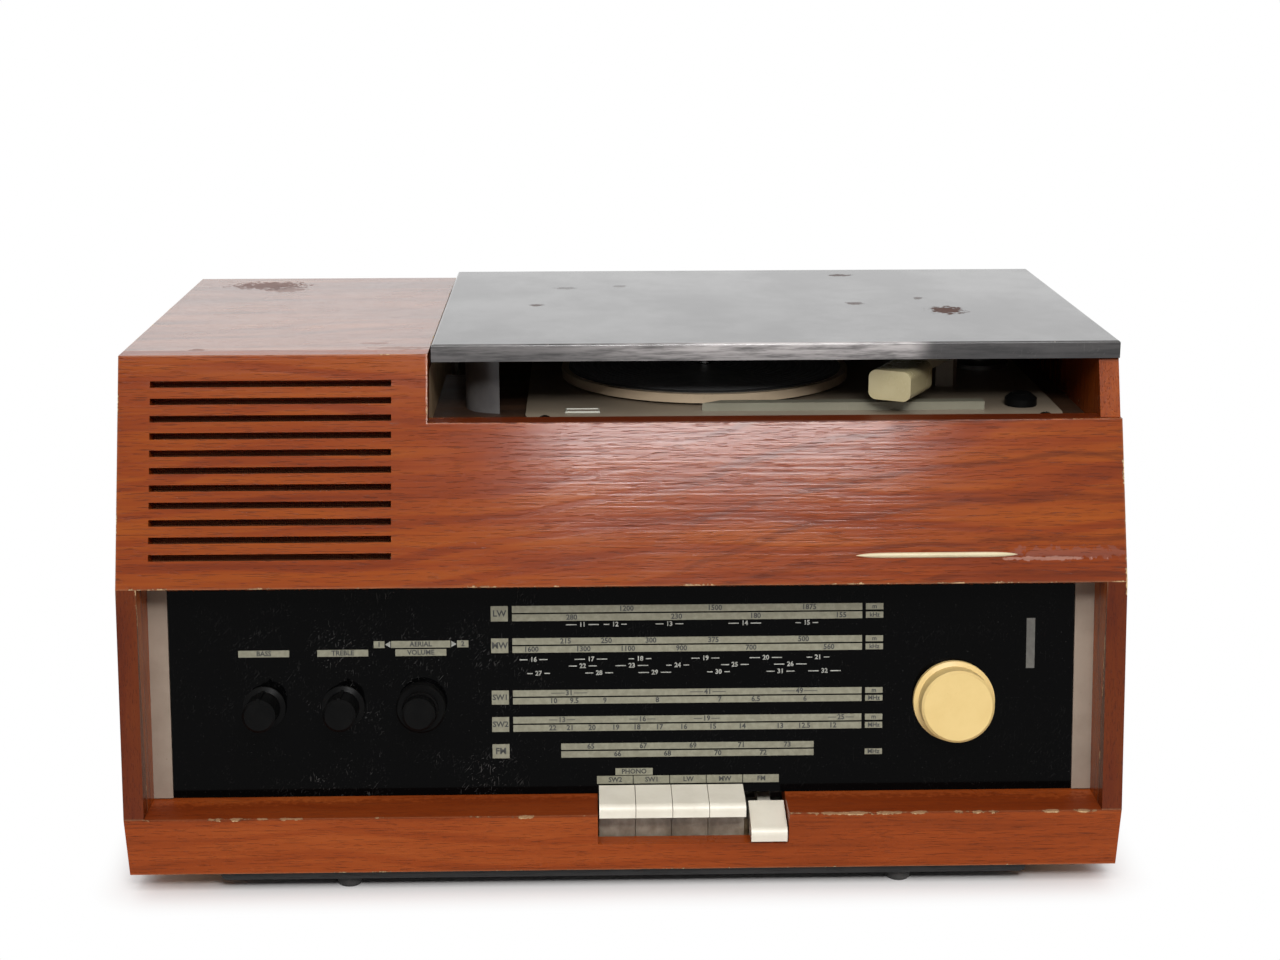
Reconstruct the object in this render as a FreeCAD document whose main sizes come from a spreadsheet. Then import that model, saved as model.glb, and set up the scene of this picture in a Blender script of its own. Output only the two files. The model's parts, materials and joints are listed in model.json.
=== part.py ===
"""Table radiogram: valve radio and record player in one leaning wooden cabinet.

Frame: origin on the table under the middle of the cabinet, +X right, front towards -Y, +Z up, millimetres.
"""
import FreeCAD, Part
import os
import re
import Sketcher

# Driving dimensions: alias, value in millimetres or degrees, meaning
SIZES = [
    ("width", 600, "cabinet, side to side"),
    ("depth", 355, "front of the rail to the back"),
    ("seat_gap", 0.3, "clearance between neighbouring pieces"),
    ("run_gap", 0.09, "radial clearance of turning fits"),
    ("side_wall", 12, "side boards"),
    ("foot_tall", 8, "rubber feet, height"),
    ("foot_radius", 7.75, "rubber feet"),
    ("foot_tip", 6.51, "rubber feet, on the floor"),
    ("foot_in", 77, "feet, from the base plate's ends"),
    ("foot_set", 12, "feet, from the base plate's edge"),
    ("base_wall", 6, "base plate"),
    ("base_in", 54, "base plate, inside the cabinet's sides"),
    ("base_set", 4.4, "base plate, behind the rail's foot"),
    ("base_back", 20, "base plate, in front of the back"),
    ("base_round", 4, "base plate, lower corners"),
    ("floor_wall", 10, "bottom board"),
    ("rail_tall", 39, "front rail, height"),
    ("rail_lean", 11.7, "front rail, overhang angle"),
    ("rail_wall", 12, "front rail, thickness"),
    ("ledge_wall", 12, "ledge behind the rail"),
    ("recess_tall", 138.5, "dial recess, height"),
    ("recess_lean", 7, "dial recess, lean of the glass"),
    ("recess_deep", 33, "dial recess, front edge to glass"),
    ("panel_rise", 131.5, "upper front panel, height"),
    ("panel_lean", 19.7, "upper front panel, lean"),
    ("panel_wall", 14, "upper front panel, thickness"),
    ("top_wall", 12, "top board"),
    ("notch_left", -116.3, "left end of the record slot"),
    ("notch_rise", 92.3, "record slot's sill above the panel's lower edge"),
    ("post_set", 5, "right post, behind the panel's face"),
    ("slot_in", 19, "loudspeaker slots, from the cabinet's left side"),
    ("slot_end", 21.5, "loudspeaker slots, from the record slot"),
    ("slot_low", 18.8, "lowest slot's middle, up the panel"),
    ("slot_tall", 3.9, "loudspeaker slot, height"),
    ("slot_pitch", 10.35, "loudspeaker slots, spacing"),
    ("slot_count", 11, "loudspeaker slots"),
    ("header_tall", 6, "rail over the glass"),
    ("header_deep", 39, "rail over the glass"),
    ("part_wall", 12, "inner partition"),
    ("part_gap", 13, "inner partition, behind the key rod"),
    ("cover_wall", 4, "rear cover"),
    ("cover_set", 2, "rear cover, inside the back edge"),
    ("vent_wide", 110, "rear cover vents"),
    ("vent_step", 165, "rear cover vents, spacing across"),
    ("vent_tall", 6, "rear cover vents"),
    ("vent_pitch", 16, "rear cover vents"),
    ("vent_rows", 7, "rear cover vents"),
    ("vent_low", 120, "rear cover, lowest vent"),
    ("socket_in", 143, "socket panel, from the right side"),
    ("socket_z", 55, "socket panel, middle"),
    ("socket_wide", 90, "socket panel"),
    ("socket_tall", 30, "socket panel"),
    ("socket_wall", 2, "socket panel"),
    ("socket_radius", 2, "sockets"),
    ("socket_pitch", 14, "sockets, spacing"),
    ("cloth_wall", 0.8, "grille cloth"),
    ("baffle_wall", 8, "loudspeaker baffle"),
    ("cone_radius", 46, "loudspeaker opening"),
    ("cone_seat", 1.2, "loudspeaker cone behind the basket's face"),
    ("cone_up", 10, "loudspeaker cone above the basket's back"),
    ("cone_skin", 1, "loudspeaker cone"),
    ("surround", 8, "loudspeaker cone's soft edge"),
    ("rim_wide", 7, "loudspeaker rim outside the opening"),
    ("basket_deep", 34, "loudspeaker basket"),
    ("magnet_radius", 26, "loudspeaker magnet"),
    ("magnet_tall", 18, "loudspeaker magnet"),
    ("sheet_wall", 2, "basket and bracket sheet metal"),
    ("glass_wall", 4, "dial glass"),
    ("strip_wide", 12, "grey strips beside the glass"),
    ("strip_proud", 1, "grey strips, in front of the glass"),
    ("dial_gap", 10, "glass to backplate"),
    ("back_wall", 1.5, "dial backplate"),
    ("control_up", 57, "knob axes, up the glass"),
    ("bass_in", 81, "bass knob, from the cabinet's left side"),
    ("treble_in", 129, "treble knob, from the cabinet's left side"),
    ("volume_in", 176.5, "volume knob, from the cabinet's left side"),
    ("tuning_in", 97.7, "tuning knob, from the cabinet's right side"),
    ("shaft_radius", 3, "control shafts"),
    ("shaft_back", 27, "control shafts behind the glass"),
    ("knob_gap", 1, "knobs, in front of the glass"),
    ("knob_bevel", 1.5, "knobs, front edge"),
    ("flange_share", 0.7, "knobs, straight part of the flange"),
    ("knob_radius", 10, "small knobs"),
    ("skirt_radius", 13, "small knobs, flange"),
    ("skirt_tall", 3.5, "small knobs, flange"),
    ("knob_long", 27, "small knobs"),
    ("ring_radius", 15, "aerial ring"),
    ("ring_tall", 10, "aerial ring"),
    ("sleeve_radius", 5.5, "aerial ring's sleeve"),
    ("tuning_radius", 22.25, "tuning knob, cap"),
    ("flange_radius", 25, "tuning knob, flange"),
    ("flange_tall", 5, "tuning knob, flange"),
    ("tuning_long", 20, "tuning knob"),
    ("pot_radius", 12, "control pots"),
    ("pot_long", 14, "control pots"),
    ("pointer_x", 39, "dial pointer at rest"),
    ("pointer_travel", 100, "dial pointer, each way"),
    ("pointer_low", 14, "dial pointer, foot"),
    ("pointer_wide", 1.2, "dial pointer"),
    ("rod_up", 127, "pointer rail, up the glass"),
    ("rod_out", 9, "pointer rail, behind the glass face"),
    ("rod_radius", 1.5, "pointer rail"),
    ("slider_thick", 3.3, "pointer slider, half its height"),
    ("slider_half", 5, "pointer slider, half its width"),
    ("lamp_x", 135, "dial lamps, either side of the pointer's rest"),
    ("lamp_radius", 4, "dial lamps"),
    ("lamp_tip", 2.8, "dial lamps, tip"),
    ("lamp_neck", 6.4, "dial lamps, foot of the tip"),
    ("lamp_tall", 7.6, "dial lamps"),
    ("key_left", -4.7, "first key, middle"),
    ("key_pitch", 22.2, "keys, spacing"),
    ("key_wide", 21.8, "keys, width"),
    ("last_gap", 3, "extra gap before the last key"),
    ("key_swing", 12, "keys, travel"),
    ("key_slack", 0.9, "keys, room in the notch"),
    ("notch_floor", 18, "key notch's floor above the cabinet's bottom"),
    ("pivot_back", 46.5, "key rod behind the glass foot"),
    ("pivot_drop", 8, "key rod below the ledge's top"),
    ("key_rod", 2, "key rod, radius"),
    ("key_top", 14, "key cap, above the rod"),
    ("key_slope", 0.7, "key cap, fall towards the front"),
    ("key_lip", 5.5, "key cap, lower front edge above the rod"),
    ("key_reach", 78.6, "key cap, front to rod"),
    ("key_rear", 47.6, "key cap, back to rod"),
    ("key_round", 4, "key cap, front fold"),
    ("apron_front", 61.6, "key apron, front to rod"),
    ("apron_wall", 3, "key apron"),
    ("apron_drop", 15, "key apron, below the rod"),
    ("lever_wide", 8, "key lever"),
    ("lever_half", 5, "key lever, half its height"),
    ("lever_back", 7, "key lever behind its pivot"),
    ("chassis_in", 46.3, "chassis, from the partition"),
    ("chassis_end", 23, "chassis, from the right side"),
    ("chassis_set", 14, "chassis, behind the key rod"),
    ("chassis_rear", 21.5, "chassis, from the rear cover"),
    ("chassis_tall", 50, "chassis"),
    ("valve_in", 90, "first valve, from the chassis's left end"),
    ("valve_rear", 135, "valves, from the chassis's back"),
    ("valve_pitch", 38, "valves"),
    ("valve_radius", 11, "valves"),
    ("valve_tall", 55, "valves"),
    ("valve_straight", 44, "valves, straight part"),
    ("valve_tip", 3.3, "valves, tip"),
    ("valve_neck", 50.6, "valves, foot of the tip"),
    ("can_in", 125, "first coil can, from the chassis's left end"),
    ("can_rear", 105, "coil cans, from the chassis's back"),
    ("can_pitch", 40, "coil cans"),
    ("can_side", 20, "coil cans"),
    ("can_tall", 42, "coil cans"),
    ("core_wide", 58, "power transformer"),
    ("core_deep", 30, "power transformer"),
    ("core_tall", 50, "power transformer"),
    ("core_end", 40, "power transformer, from the chassis's right end"),
    ("core_rear", 50, "power transformer, from the chassis's back"),
    ("small_wide", 38, "output transformer"),
    ("small_deep", 20, "output transformer"),
    ("small_tall", 32, "output transformer"),
    ("small_in", 28, "output transformer, from the chassis's left end"),
    ("small_rear", 35, "output transformer, from the chassis's back"),
    ("vane_end", 35, "tuning capacitor, from the chassis's right end"),
    ("vane_set", 39, "tuning capacitor, from the chassis's front"),
    ("vane_radius", 18, "tuning capacitor"),
    ("vane_wall", 1.2, "tuning capacitor"),
    ("vane_pitch", 6, "tuning capacitor"),
    ("vane_count", 5, "tuning capacitor"),
    ("vane_shaft", 26, "tuning capacitor's shaft above the chassis"),
    ("aerial_in", 65, "ferrite aerial's post, from the chassis's left end"),
    ("aerial_rear", 120, "ferrite aerial's post, from the chassis's back"),
    ("aerial_rise", 70, "ferrite aerial's post"),
    ("aerial_post", 4, "ferrite aerial's post, radius"),
    ("aerial_long", 110, "ferrite aerial"),
    ("aerial_radius", 5, "ferrite aerial"),
    ("aerial_bed", 4, "ferrite aerial's axis above its cup"),
    ("deck_z", 280, "deck plate's top"),
    ("deck_wall", 3, "deck plate"),
    ("deck_in", 57.3, "deck plate, from the partition"),
    ("deck_end", 16, "deck plate, from the right side"),
    ("deck_set", 5, "deck plate, behind the front panel"),
    ("deck_rear", 43.5, "deck plate, from the rear cover"),
    ("deck_round", 22, "deck plate's corners"),
    ("deck_lap", 18, "deck plate on the motor board"),
    ("board_wall", 12, "motor board"),
    ("bar_long", 175, "bar on the deck"),
    ("bar_end", 47, "bar on the deck, from the deck's right edge"),
    ("bar_set", 27.5, "bar on the deck, from the deck's front edge"),
    ("bar_deep", 9, "bar on the deck"),
    ("bar_tall", 5, "bar on the deck"),
    ("bar_slant", 12, "bar on the deck, slanted end"),
    ("shield_radius", 22, "bent shield beside the deck"),
    ("shield_wall", 1.2, "bent shield beside the deck"),
    ("shield_tall", 38, "bent shield beside the deck"),
    ("shield_sweep", 90, "bent shield beside the deck, angle"),
    ("shield_in", 40.8, "bent shield, from the partition"),
    ("shield_set", 60, "bent shield, from the deck's front edge"),
    ("disc_end", 215, "platter's axis, from the deck's right edge"),
    ("disc_set", 138, "platter's axis, from the deck's front edge"),
    ("disc_radius", 95, "platter"),
    ("disc_rim", 4.5, "platter's rim"),
    ("disc_low", 1.6, "platter's rim above the deck"),
    ("disc_tall", 5.6, "platter's rim"),
    ("disc_web", 2, "platter's web"),
    ("disc_web_up", 4.6, "platter's web above the deck"),
    ("disc_hub", 16, "platter's hub"),
    ("mat_wall", 2, "platter mat"),
    ("spindle_radius", 5, "record spindle in its bearing"),
    ("spindle_tip", 3.57, "record spindle above the mat"),
    ("spindle_nose", 2.142, "record spindle's tapered tip"),
    ("spindle_neck", 3.2, "record spindle's neck at the mat"),
    ("spindle_up", 19.4, "record spindle above the deck"),
    ("bush_radius", 8, "platter bearing"),
    ("bush_deep", 18, "platter bearing"),
    ("bush_flange", 14, "platter bearing"),
    ("bush_lip", 1.2, "platter bearing"),
    ("drive_turn", -20, "idler's direction from the platter's axis"),
    ("idler_radius", 20.4, "idler wheel"),
    ("idler_wall", 2.4, "idler wheel"),
    ("idler_up", 1.4, "idler wheel above the deck"),
    ("idler_stud", 2, "idler's stud"),
    ("pulley_radius", 4, "motor pulley"),
    ("motor_radius", 30, "turntable motor"),
    ("motor_tall", 46, "turntable motor"),
    ("motor_hole", 8, "deck hole over the motor"),
    ("motor_shaft", 2, "motor shaft"),
    ("select_end", 22, "speed selector, from the deck's right edge"),
    ("select_ahead", 128, "speed selector, in front of the tonearm's pivot"),
    ("select_radius", 10, "speed selector"),
    ("select_tall", 8, "speed selector"),
    ("select_skirt", 4.8, "speed selector, straight part"),
    ("select_crown", 6, "speed selector, top"),
    ("arm_end", 26, "tonearm's pivot, from the deck's right edge"),
    ("arm_behind", 30, "tonearm's pivot, behind the platter's axis"),
    ("arm_turn", 27.5, "tonearm at rest, from straight ahead"),
    ("arm_base", 20, "tonearm's base"),
    ("arm_pillar", 9, "tonearm's pillar"),
    ("arm_foot", 4.5, "tonearm's base, beside the pillar"),
    ("arm_rise", 12, "tonearm's pillar above the deck"),
    ("arm_pin", 3, "tonearm's swing pin"),
    ("house_radius", 18, "tonearm's carriage"),
    ("house_tall", 15, "tonearm's carriage"),
    ("house_floor", 4, "tonearm's carriage, floor"),
    ("house_slot", 6.3, "tonearm's carriage, half the slot"),
    ("axle_up", 9.4, "lift axle above the carriage's foot"),
    ("axle_radius", 1.5, "lift axle"),
    ("axle_long", 27, "lift axle"),
    ("arm_half", 3.8, "tonearm, half its height"),
    ("arm_tail", 20, "tonearm behind the pivot"),
    ("arm_long", 140, "tonearm, pivot to head"),
    ("arm_wide", 10, "tonearm at the pivot"),
    ("arm_thin", 8, "tonearm at the head"),
    ("head_long", 40, "pickup head"),
    ("head_wide", 27, "pickup head"),
    ("head_low", -2.2, "pickup head, from the carriage's foot"),
    ("head_tall", 18.4, "pickup head"),
    ("head_round", 5, "pickup head's corners"),
    ("needle_in", 8, "stylus behind the head's front"),
    ("needle_long", 0.9, "stylus"),
    ("needle_radius", 1.4, "stylus"),
    ("rest_at", 75, "arm rest from the pivot"),
    ("rest_wide", 8, "arm rest"),
    ("rest_lip", 6, "arm rest"),
    ("lid_wall", 10.5, "lid"),
    ("lid_stand", 5.5, "lid above the top board"),
    ("lid_gap", 2.1, "lid to the top board's end"),
    ("lid_round", 1.5, "lid's upper edges"),
    ("hinge_set", 3.2, "hinge axis inside the back edge"),
    ("knuckle", 3, "hinge knuckle"),
    ("hinge_pin", 1.5, "hinge pin"),
    ("leaf_wall", 1.2, "hinge leaf"),
    ("leaf_wide", 50, "hinge leaf"),
    ("leaf_deep", 22, "hinge leaf"),
    ("leaf_middle", 16, "lid's knuckle"),
    ("hinge_in", 57, "outer hinges, from the lid's ends"),
    ("hinge_rail_tall", 18, "rail under the hinges"),
    ("hinge_rail_deep", 31, "rail under the hinges"),
    ("batten", 12, "motor board's battens"),
    ("stay_back", 114.3, "stay pin, from the hinge axis"),
    ("stay_drop", 7.5, "stay pin below the lid"),
    ("stay_angle", 33, "stay stud below the hinge line"),
    ("lid_swing", 75, "lid's travel"),
    ("stay_set", 5, "stay arm from the partition"),
    ("stay_wall", 2, "stay arm"),
    ("stay_wide", 12, "stay arm"),
    ("stay_round", 5.714, "stay arm's ends"),
    ("stay_pin", 2.4, "stay pin"),
    ("stay_stud", 2.5, "stay stud"),
    ("stay_cap", 4, "stay stud's outer face"),
    ("stay_slack", 4, "stay slot beyond the stud's travel"),
    ("stay_gate", 14, "stay's gate in the motor board, width"),
    ("gate_ahead", 10, "stay's gate, in front of the stay pin"),
    ("gate_behind", 46, "stay's gate, behind the stay pin"),
]

# Places worked out from the driving dimensions
PLACES = {
    "half_width": "width / 2",
    "inner_x": "half_width - side_wall",
    "rail_y": "-depth / 2",
    "back_y": "depth / 2",
    "cab_z": "foot_tall + base_wall",
    "floor_z": "cab_z + floor_wall",
    "rail_z": "cab_z + rail_tall",
    "nose_z": "rail_z + recess_tall",
    "top_z": "nose_z + panel_rise",
    "under_top": "top_z - top_wall",
    "notch_z": "nose_z + notch_rise",
    "foot_y": "rail_y + rail_tall * tan(rail_lean)",
    "nose_y": "rail_y + recess_tall * tan(recess_lean)",
    "nose_in_y": "nose_y + panel_wall * cos(panel_lean)",
    "nose_in_z": "nose_z - panel_wall * sin(panel_lean)",
    "header_z": "nose_in_z + header_tall",
    "glass_y": "rail_y + recess_deep",
    "glass_top": "(nose_in_z - seat_gap - rail_z) / cos(recess_lean)",
    "back_out": "-glass_wall - dial_gap",
    "back_low": "(glass_wall + dial_gap + back_wall) * tan(recess_lean)",
    "back_top": "(nose_in_z - seat_gap - rail_z - back_out * sin(recess_lean)) / cos(recess_lean)",
    "pot_out": "back_out - back_wall",
    "cover_y": "back_y - cover_set - cover_wall",
    "part_left": "notch_left - part_wall",
    "baffle_out": "-panel_wall - cloth_wall",
    "speaker_out": "baffle_out - baffle_wall",
    "baffle_low": "(header_z + seat_gap - nose_z - speaker_out * sin(panel_lean)) / cos(panel_lean)",
    "baffle_high": "(under_top - seat_gap - nose_z + panel_wall * sin(panel_lean)) / cos(panel_lean)",
    "speaker_x": "(part_left - inner_x) / 2",
    "speaker_up": "(baffle_low + baffle_high) / 2",
    "pivot_y": "glass_y + pivot_back",
    "pivot_z": "rail_z - pivot_drop",
    "keys_low": "key_left - key_wide / 2 - key_slack",
    "keys_high": "key_left + key_pitch * 4 + last_gap + key_wide / 2 + key_slack",
    "well_back": "pivot_y - apron_front + apron_wall + apron_drop",
    "base_half": "half_width - base_in",
    "foot_x": "base_half - foot_in",
    "slot_left": "slot_in - half_width",
    "slot_right": "notch_left - slot_end",
    "part_front": "pivot_y + part_gap",
    "socket_x": "inner_x - socket_in",
    "bass_x": "bass_in - half_width",
    "treble_x": "treble_in - half_width",
    "volume_x": "volume_in - half_width",
    "tuning_x": "half_width - tuning_in",
    "chassis_left": "notch_left + chassis_in",
    "chassis_right": "inner_x - chassis_end",
    "chassis_front": "pivot_y + chassis_set",
    "chassis_back": "cover_y - chassis_rear",
    "chassis_z": "floor_z + chassis_tall",
    "valve_x": "chassis_left + valve_in",
    "valve_y": "chassis_back - valve_rear",
    "can_x": "chassis_left + can_in",
    "can_y": "chassis_back - can_rear",
    "core_x": "chassis_right - core_end",
    "core_y": "chassis_back - core_rear",
    "small_x": "chassis_left + small_in",
    "small_y": "chassis_back - small_rear",
    "vane_x": "chassis_right - vane_end",
    "vane_y": "chassis_front + vane_set",
    "aerial_x": "chassis_left + aerial_in",
    "aerial_y": "chassis_back - aerial_rear",
    "board_z": "deck_z - deck_wall",
    "board_low": "board_z - board_wall",
    "deck_left": "notch_left + deck_in",
    "deck_right": "inner_x - deck_end",
    "deck_front": "nose_in_y + (board_z - nose_in_z) * tan(panel_lean) + deck_set",
    "deck_back": "cover_y - deck_rear",
    "bar_right": "deck_right - bar_end",
    "bar_left": "bar_right - bar_long",
    "bar_front": "deck_front + bar_set",
    "bar_back": "bar_front + bar_deep",
    "select_x": "deck_right - select_end",
    "select_y": "arm_y - select_ahead",
    "arm_x": "deck_right - arm_end",
    "disc_x": "deck_right - disc_end",
    "disc_y": "deck_front + disc_set",
    "arm_y": "disc_y + arm_behind",
    "disc_inner": "disc_radius - disc_rim",
    "idler_at": "disc_inner - seat_gap - idler_radius",
    "idler_x": "disc_x + idler_at * cos(drive_turn)",
    "idler_y": "disc_y + idler_at * sin(drive_turn)",
    "motor_at": "idler_at - idler_radius - seat_gap - pulley_radius",
    "motor_x": "disc_x + motor_at * cos(drive_turn)",
    "motor_y": "disc_y + motor_at * sin(drive_turn)",
    "house_z": "deck_z + arm_rise + seat_gap",
    "lid_top": "top_z + lid_stand",
    "lid_z": "lid_top - lid_wall",
    "lid_left": "notch_left + lid_gap",
    "lid_front": "nose_y + panel_rise * tan(panel_lean)",
    "hinge_y": "back_y - hinge_set",
    "hinge_z": "lid_z - leaf_wall - seat_gap / 2",
    "leaf_edge": "hinge_y - knuckle - seat_gap",
    "rail_top": "hinge_z - seat_gap / 2 - leaf_wall",
    "stay_x": "notch_left + stay_set",
    "stay_y": "hinge_y - stay_back",
    "gate_front": "stay_y - gate_ahead",
    "gate_back": "stay_y + gate_behind",
    "stay_z": "lid_z - stay_drop",
    "stay_arm": "sqrt((hinge_y - stay_y)^2 + (hinge_z - stay_z)^2)",
    "stay_start": "asin((hinge_z - stay_z) / stay_arm)",
    "stay_lean": "(stay_angle * 1 deg + stay_start) / 2",
    "stay_half": "(stay_angle * 1 deg - stay_start) / 2",
    "stay_near": "2 * stay_arm * sin(stay_half)",
    "stay_far": "2 * stay_arm * sin(stay_half + lid_swing * 0.5 deg)",
    "stud_y": "hinge_y - stay_arm * cos(stay_angle)",
    "stud_z": "hinge_z - stay_arm * sin(stay_angle)",
}

# Leaning planes: the y and z of their foot line, and their lean from upright
DIAL = ("glass_y", "rail_z", "recess_lean")
PANEL = ("nose_y", "nose_z", "panel_lean")
KEY_COUNT = 5
X_AXIS = FreeCAD.Vector(1, 0, 0)
Y_AXIS = FreeCAD.Vector(0, 1, 0)
Z_AXIS = FreeCAD.Vector(0, 0, 1)

doc = FreeCAD.newDocument("radiogram")
sizes = doc.addObject("Spreadsheet::Sheet", "Sizes")
for row, (alias, number, meaning) in enumerate(SIZES, start=1):
    sizes.set("A%d" % row, meaning)
    sizes.set("B%d" % row, str(number))
    sizes.setAlias("B%d" % row, alias)
doc.recompute()
ALIASES = {alias for alias, number, meaning in SIZES}
nodes = []


# Expressions

def term(text):
    """The text with places written out and every driving dimension read from the sheet."""
    def written_out(match):
        word = match.group(0)
        if word in PLACES:
            return "(" + term(PLACES[word]) + ")"
        return "Sizes." + word if word in ALIASES else word
    return re.sub(r"[A-Za-z_][A-Za-z_0-9]*", written_out, text)


def value(text):
    number = sizes.evalExpression(term(text))
    return float(getattr(number, "Value", number))


def bind(thing, name, text):
    thing.setExpression(name, term(text))


def panel_back(level):
    """The y of the upper panel's inner face at a height."""
    return "nose_in_y + (%s - nose_in_z) * tan(panel_lean)" % level


def panel_face(level):
    """The y of the upper panel's outer face at a height."""
    return "nose_y + (%s - nose_z) * tan(panel_lean)" % level


def rail_back(level):
    """The y of the front rail's inner face at a height."""
    return "foot_y + rail_wall - (%s - cab_z) * tan(rail_lean)" % level


# Placements

def place(thing, x="0", y="0", z="0"):
    bind(thing, "Placement.Base.x", x)
    bind(thing, "Placement.Base.y", y)
    bind(thing, "Placement.Base.z", z)
    return thing


def turn(thing, axis, angle):
    """Turn a piece about one of its own axes by a bound angle."""
    thing.Placement = FreeCAD.Placement(thing.Placement.Base, FreeCAD.Rotation(axis, value(angle)))
    bind(thing, "Placement.Rotation.Angle", angle)
    return thing


def lean_place(frame, up, out):
    """The y and z of a point on a leaning plane, so far up it and so far in front of it."""
    foot_y, foot_z, angle = frame
    y = "%s + (%s) * sin(%s) - (%s) * cos(%s)" % (foot_y, up, angle, out, angle)
    z = "%s + (%s) * cos(%s) + (%s) * sin(%s)" % (foot_z, up, angle, out, angle)
    return y, z


def lean(thing, frame, x="0", up="0", out="0"):
    """Set a piece on a leaning plane: its own X along X, its Y up the plane, its Z straight out."""
    y, z = lean_place(frame, up, out)
    place(thing, x, y, z)
    return turn(thing, X_AXIS, "90 - " + frame[2])


# Part primitives

def box(name, x, y, z):
    thing = doc.addObject("Part::Box", name)
    for side, (low, high) in zip(("Length", "Width", "Height"), (x, y, z)):
        bind(thing, side, "(%s) - (%s)" % (high, low))
    return place(thing, x[0], y[0], z[0])


def lean_box(name, frame, x, up, out):
    return lean(box(name, x, up, out), frame, x[0], up[0], out[0])


def rod(name, radius, length):
    thing = doc.addObject("Part::Cylinder", name)
    bind(thing, "Radius", radius)
    bind(thing, "Height", length)
    return thing


def rod_x(name, radius, x, y, z):
    thing = turn(rod(name, radius, "(%s) - (%s)" % (x[1], x[0])), Y_AXIS, "90")
    return place(thing, x[0], y, z)


def rod_z(name, radius, x, y, z):
    return place(rod(name, radius, "(%s) - (%s)" % (z[1], z[0])), x, y, z[0])


def cut(name, base, tool):
    thing = doc.addObject("Part::Cut", name)
    thing.Base = base
    thing.Tool = tool
    return thing


def fuse(name, *pieces):
    thing = doc.addObject("Part::MultiFuse", name)
    thing.Shapes = list(pieces)
    return thing


def group(name, pieces):
    thing = doc.addObject("Part::Compound", name)
    thing.Links = list(pieces)
    return thing


# Bodies and sketches

def new_body(name):
    return doc.addObject("PartDesign::Body", name)


def sketch_on(body, role):
    sketch = body.newObject("Sketcher::SketchObject", body.Name + "_sketch")
    plane = [item for item in body.Origin.OriginFeatures if item.Role == role][0]
    sketch.AttachmentSupport = [(plane, "")]
    sketch.MapMode = "FlatFace"
    return sketch


def hold(sketch, kind, edge, point, text):
    """Hold a sketch point at a bound distance from the origin."""
    index = sketch.addConstraint(Sketcher.Constraint(kind, -1, 1, edge, point, value(text)))
    sketch.setExpression("Constraints[%d]" % index, term(text))


def outline(sketch, points):
    """A closed outline of straight edges through the points."""
    start = sketch.GeometryCount
    count = len(points)
    spots = [FreeCAD.Vector(value(u), value(v), 0) for u, v in points]
    for index in range(count):
        sketch.addGeometry(Part.LineSegment(spots[index], spots[(index + 1) % count]))
    for index in range(count):
        after = start + (index + 1) % count
        sketch.addConstraint(Sketcher.Constraint("Coincident", start + index, 2, after, 1))
    for index, (u, v) in enumerate(points):
        hold(sketch, "DistanceX", start + index, 1, u)
        hold(sketch, "DistanceY", start + index, 1, v)
    return sketch


def oblong(sketch, u, v):
    """A rectangle between two bound distances each way."""
    return outline(sketch, [(u[0], v[0]), (u[1], v[0]), (u[1], v[1]), (u[0], v[1])])


def ring(sketch, u, v, radius):
    centre = FreeCAD.Vector(value(u), value(v), 0)
    edge = sketch.addGeometry(Part.Circle(centre, Z_AXIS, value(radius)))
    hold(sketch, "DistanceX", edge, 3, u)
    hold(sketch, "DistanceY", edge, 3, v)
    index = sketch.addConstraint(Sketcher.Constraint("Radius", edge, value(radius)))
    sketch.setExpression("Constraints[%d]" % index, term(radius))
    return sketch


def pad(body, sketch, length, both=False, back=False):
    feature = body.newObject("PartDesign::Pad", body.Name + "_pad")
    feature.Profile = sketch
    bind(feature, "Length", length)
    feature.Midplane = both
    feature.Reversed = back
    return feature


def pocket(body, sketch, both=False):
    feature = body.newObject("PartDesign::Pocket", body.Name + "_pocket")
    feature.Profile = sketch
    feature.Type = "ThroughAll"
    feature.Midplane = both
    return feature


def row_of(body, feature, sketch, step, count):
    """Repeat a feature up its sketch."""
    feature_row = body.newObject("PartDesign::LinearPattern", body.Name + "_row")
    feature_row.Originals = [feature]
    feature_row.Direction = (sketch, ["V_Axis"])
    bind(feature_row, "Length", "%s * (%s - 1)" % (step, count))
    bind(feature_row, "Occurrences", count)
    body.Tip = feature_row
    return feature_row


def round_edges(body, radius, wanted):
    """Fillet the edges of the body's last feature that the test picks by their two ends."""
    doc.recompute()
    base = body.Tip
    names = []
    for index, edge in enumerate(base.Shape.Edges, start=1):
        if len(edge.Vertexes) == 2 and wanted(edge.Vertexes[0].Point, edge.Vertexes[1].Point):
            names.append("Edge%d" % index)
    feature = body.newObject("PartDesign::Fillet", body.Name + "_fillet")
    feature.Base = (base, names)
    bind(feature, "Radius", radius)
    return feature


def same(first, second):
    return abs(first - second) < 1e-6


def along_x(start, end):
    return same(start.y, end.y) and same(start.z, end.z)


def along_y(start, end):
    return same(start.x, end.x) and same(start.z, end.z)


def along_z(start, end):
    return same(start.x, end.x) and same(start.y, end.y)


def prism(name, points, low, high):
    """A board whose outline lies across X, from one x to another."""
    body = new_body(name)
    pad(body, outline(sketch_on(body, "YZ_Plane"), points), "(%s) - (%s)" % (high, low))
    return place(body, low)


def turned(name, profile):
    """A piece turned about its own Z from radius and height pairs."""
    body = new_body(name)
    sketch = outline(sketch_on(body, "XZ_Plane"), profile)
    feature = body.newObject("PartDesign::Revolution", name + "_turn")
    feature.Profile = sketch
    feature.ReferenceAxis = (sketch, ["V_Axis"])
    return body


def node(label, thing):
    thing.Label = label
    nodes.append(thing)
    return thing


# Cabinet boards

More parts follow.
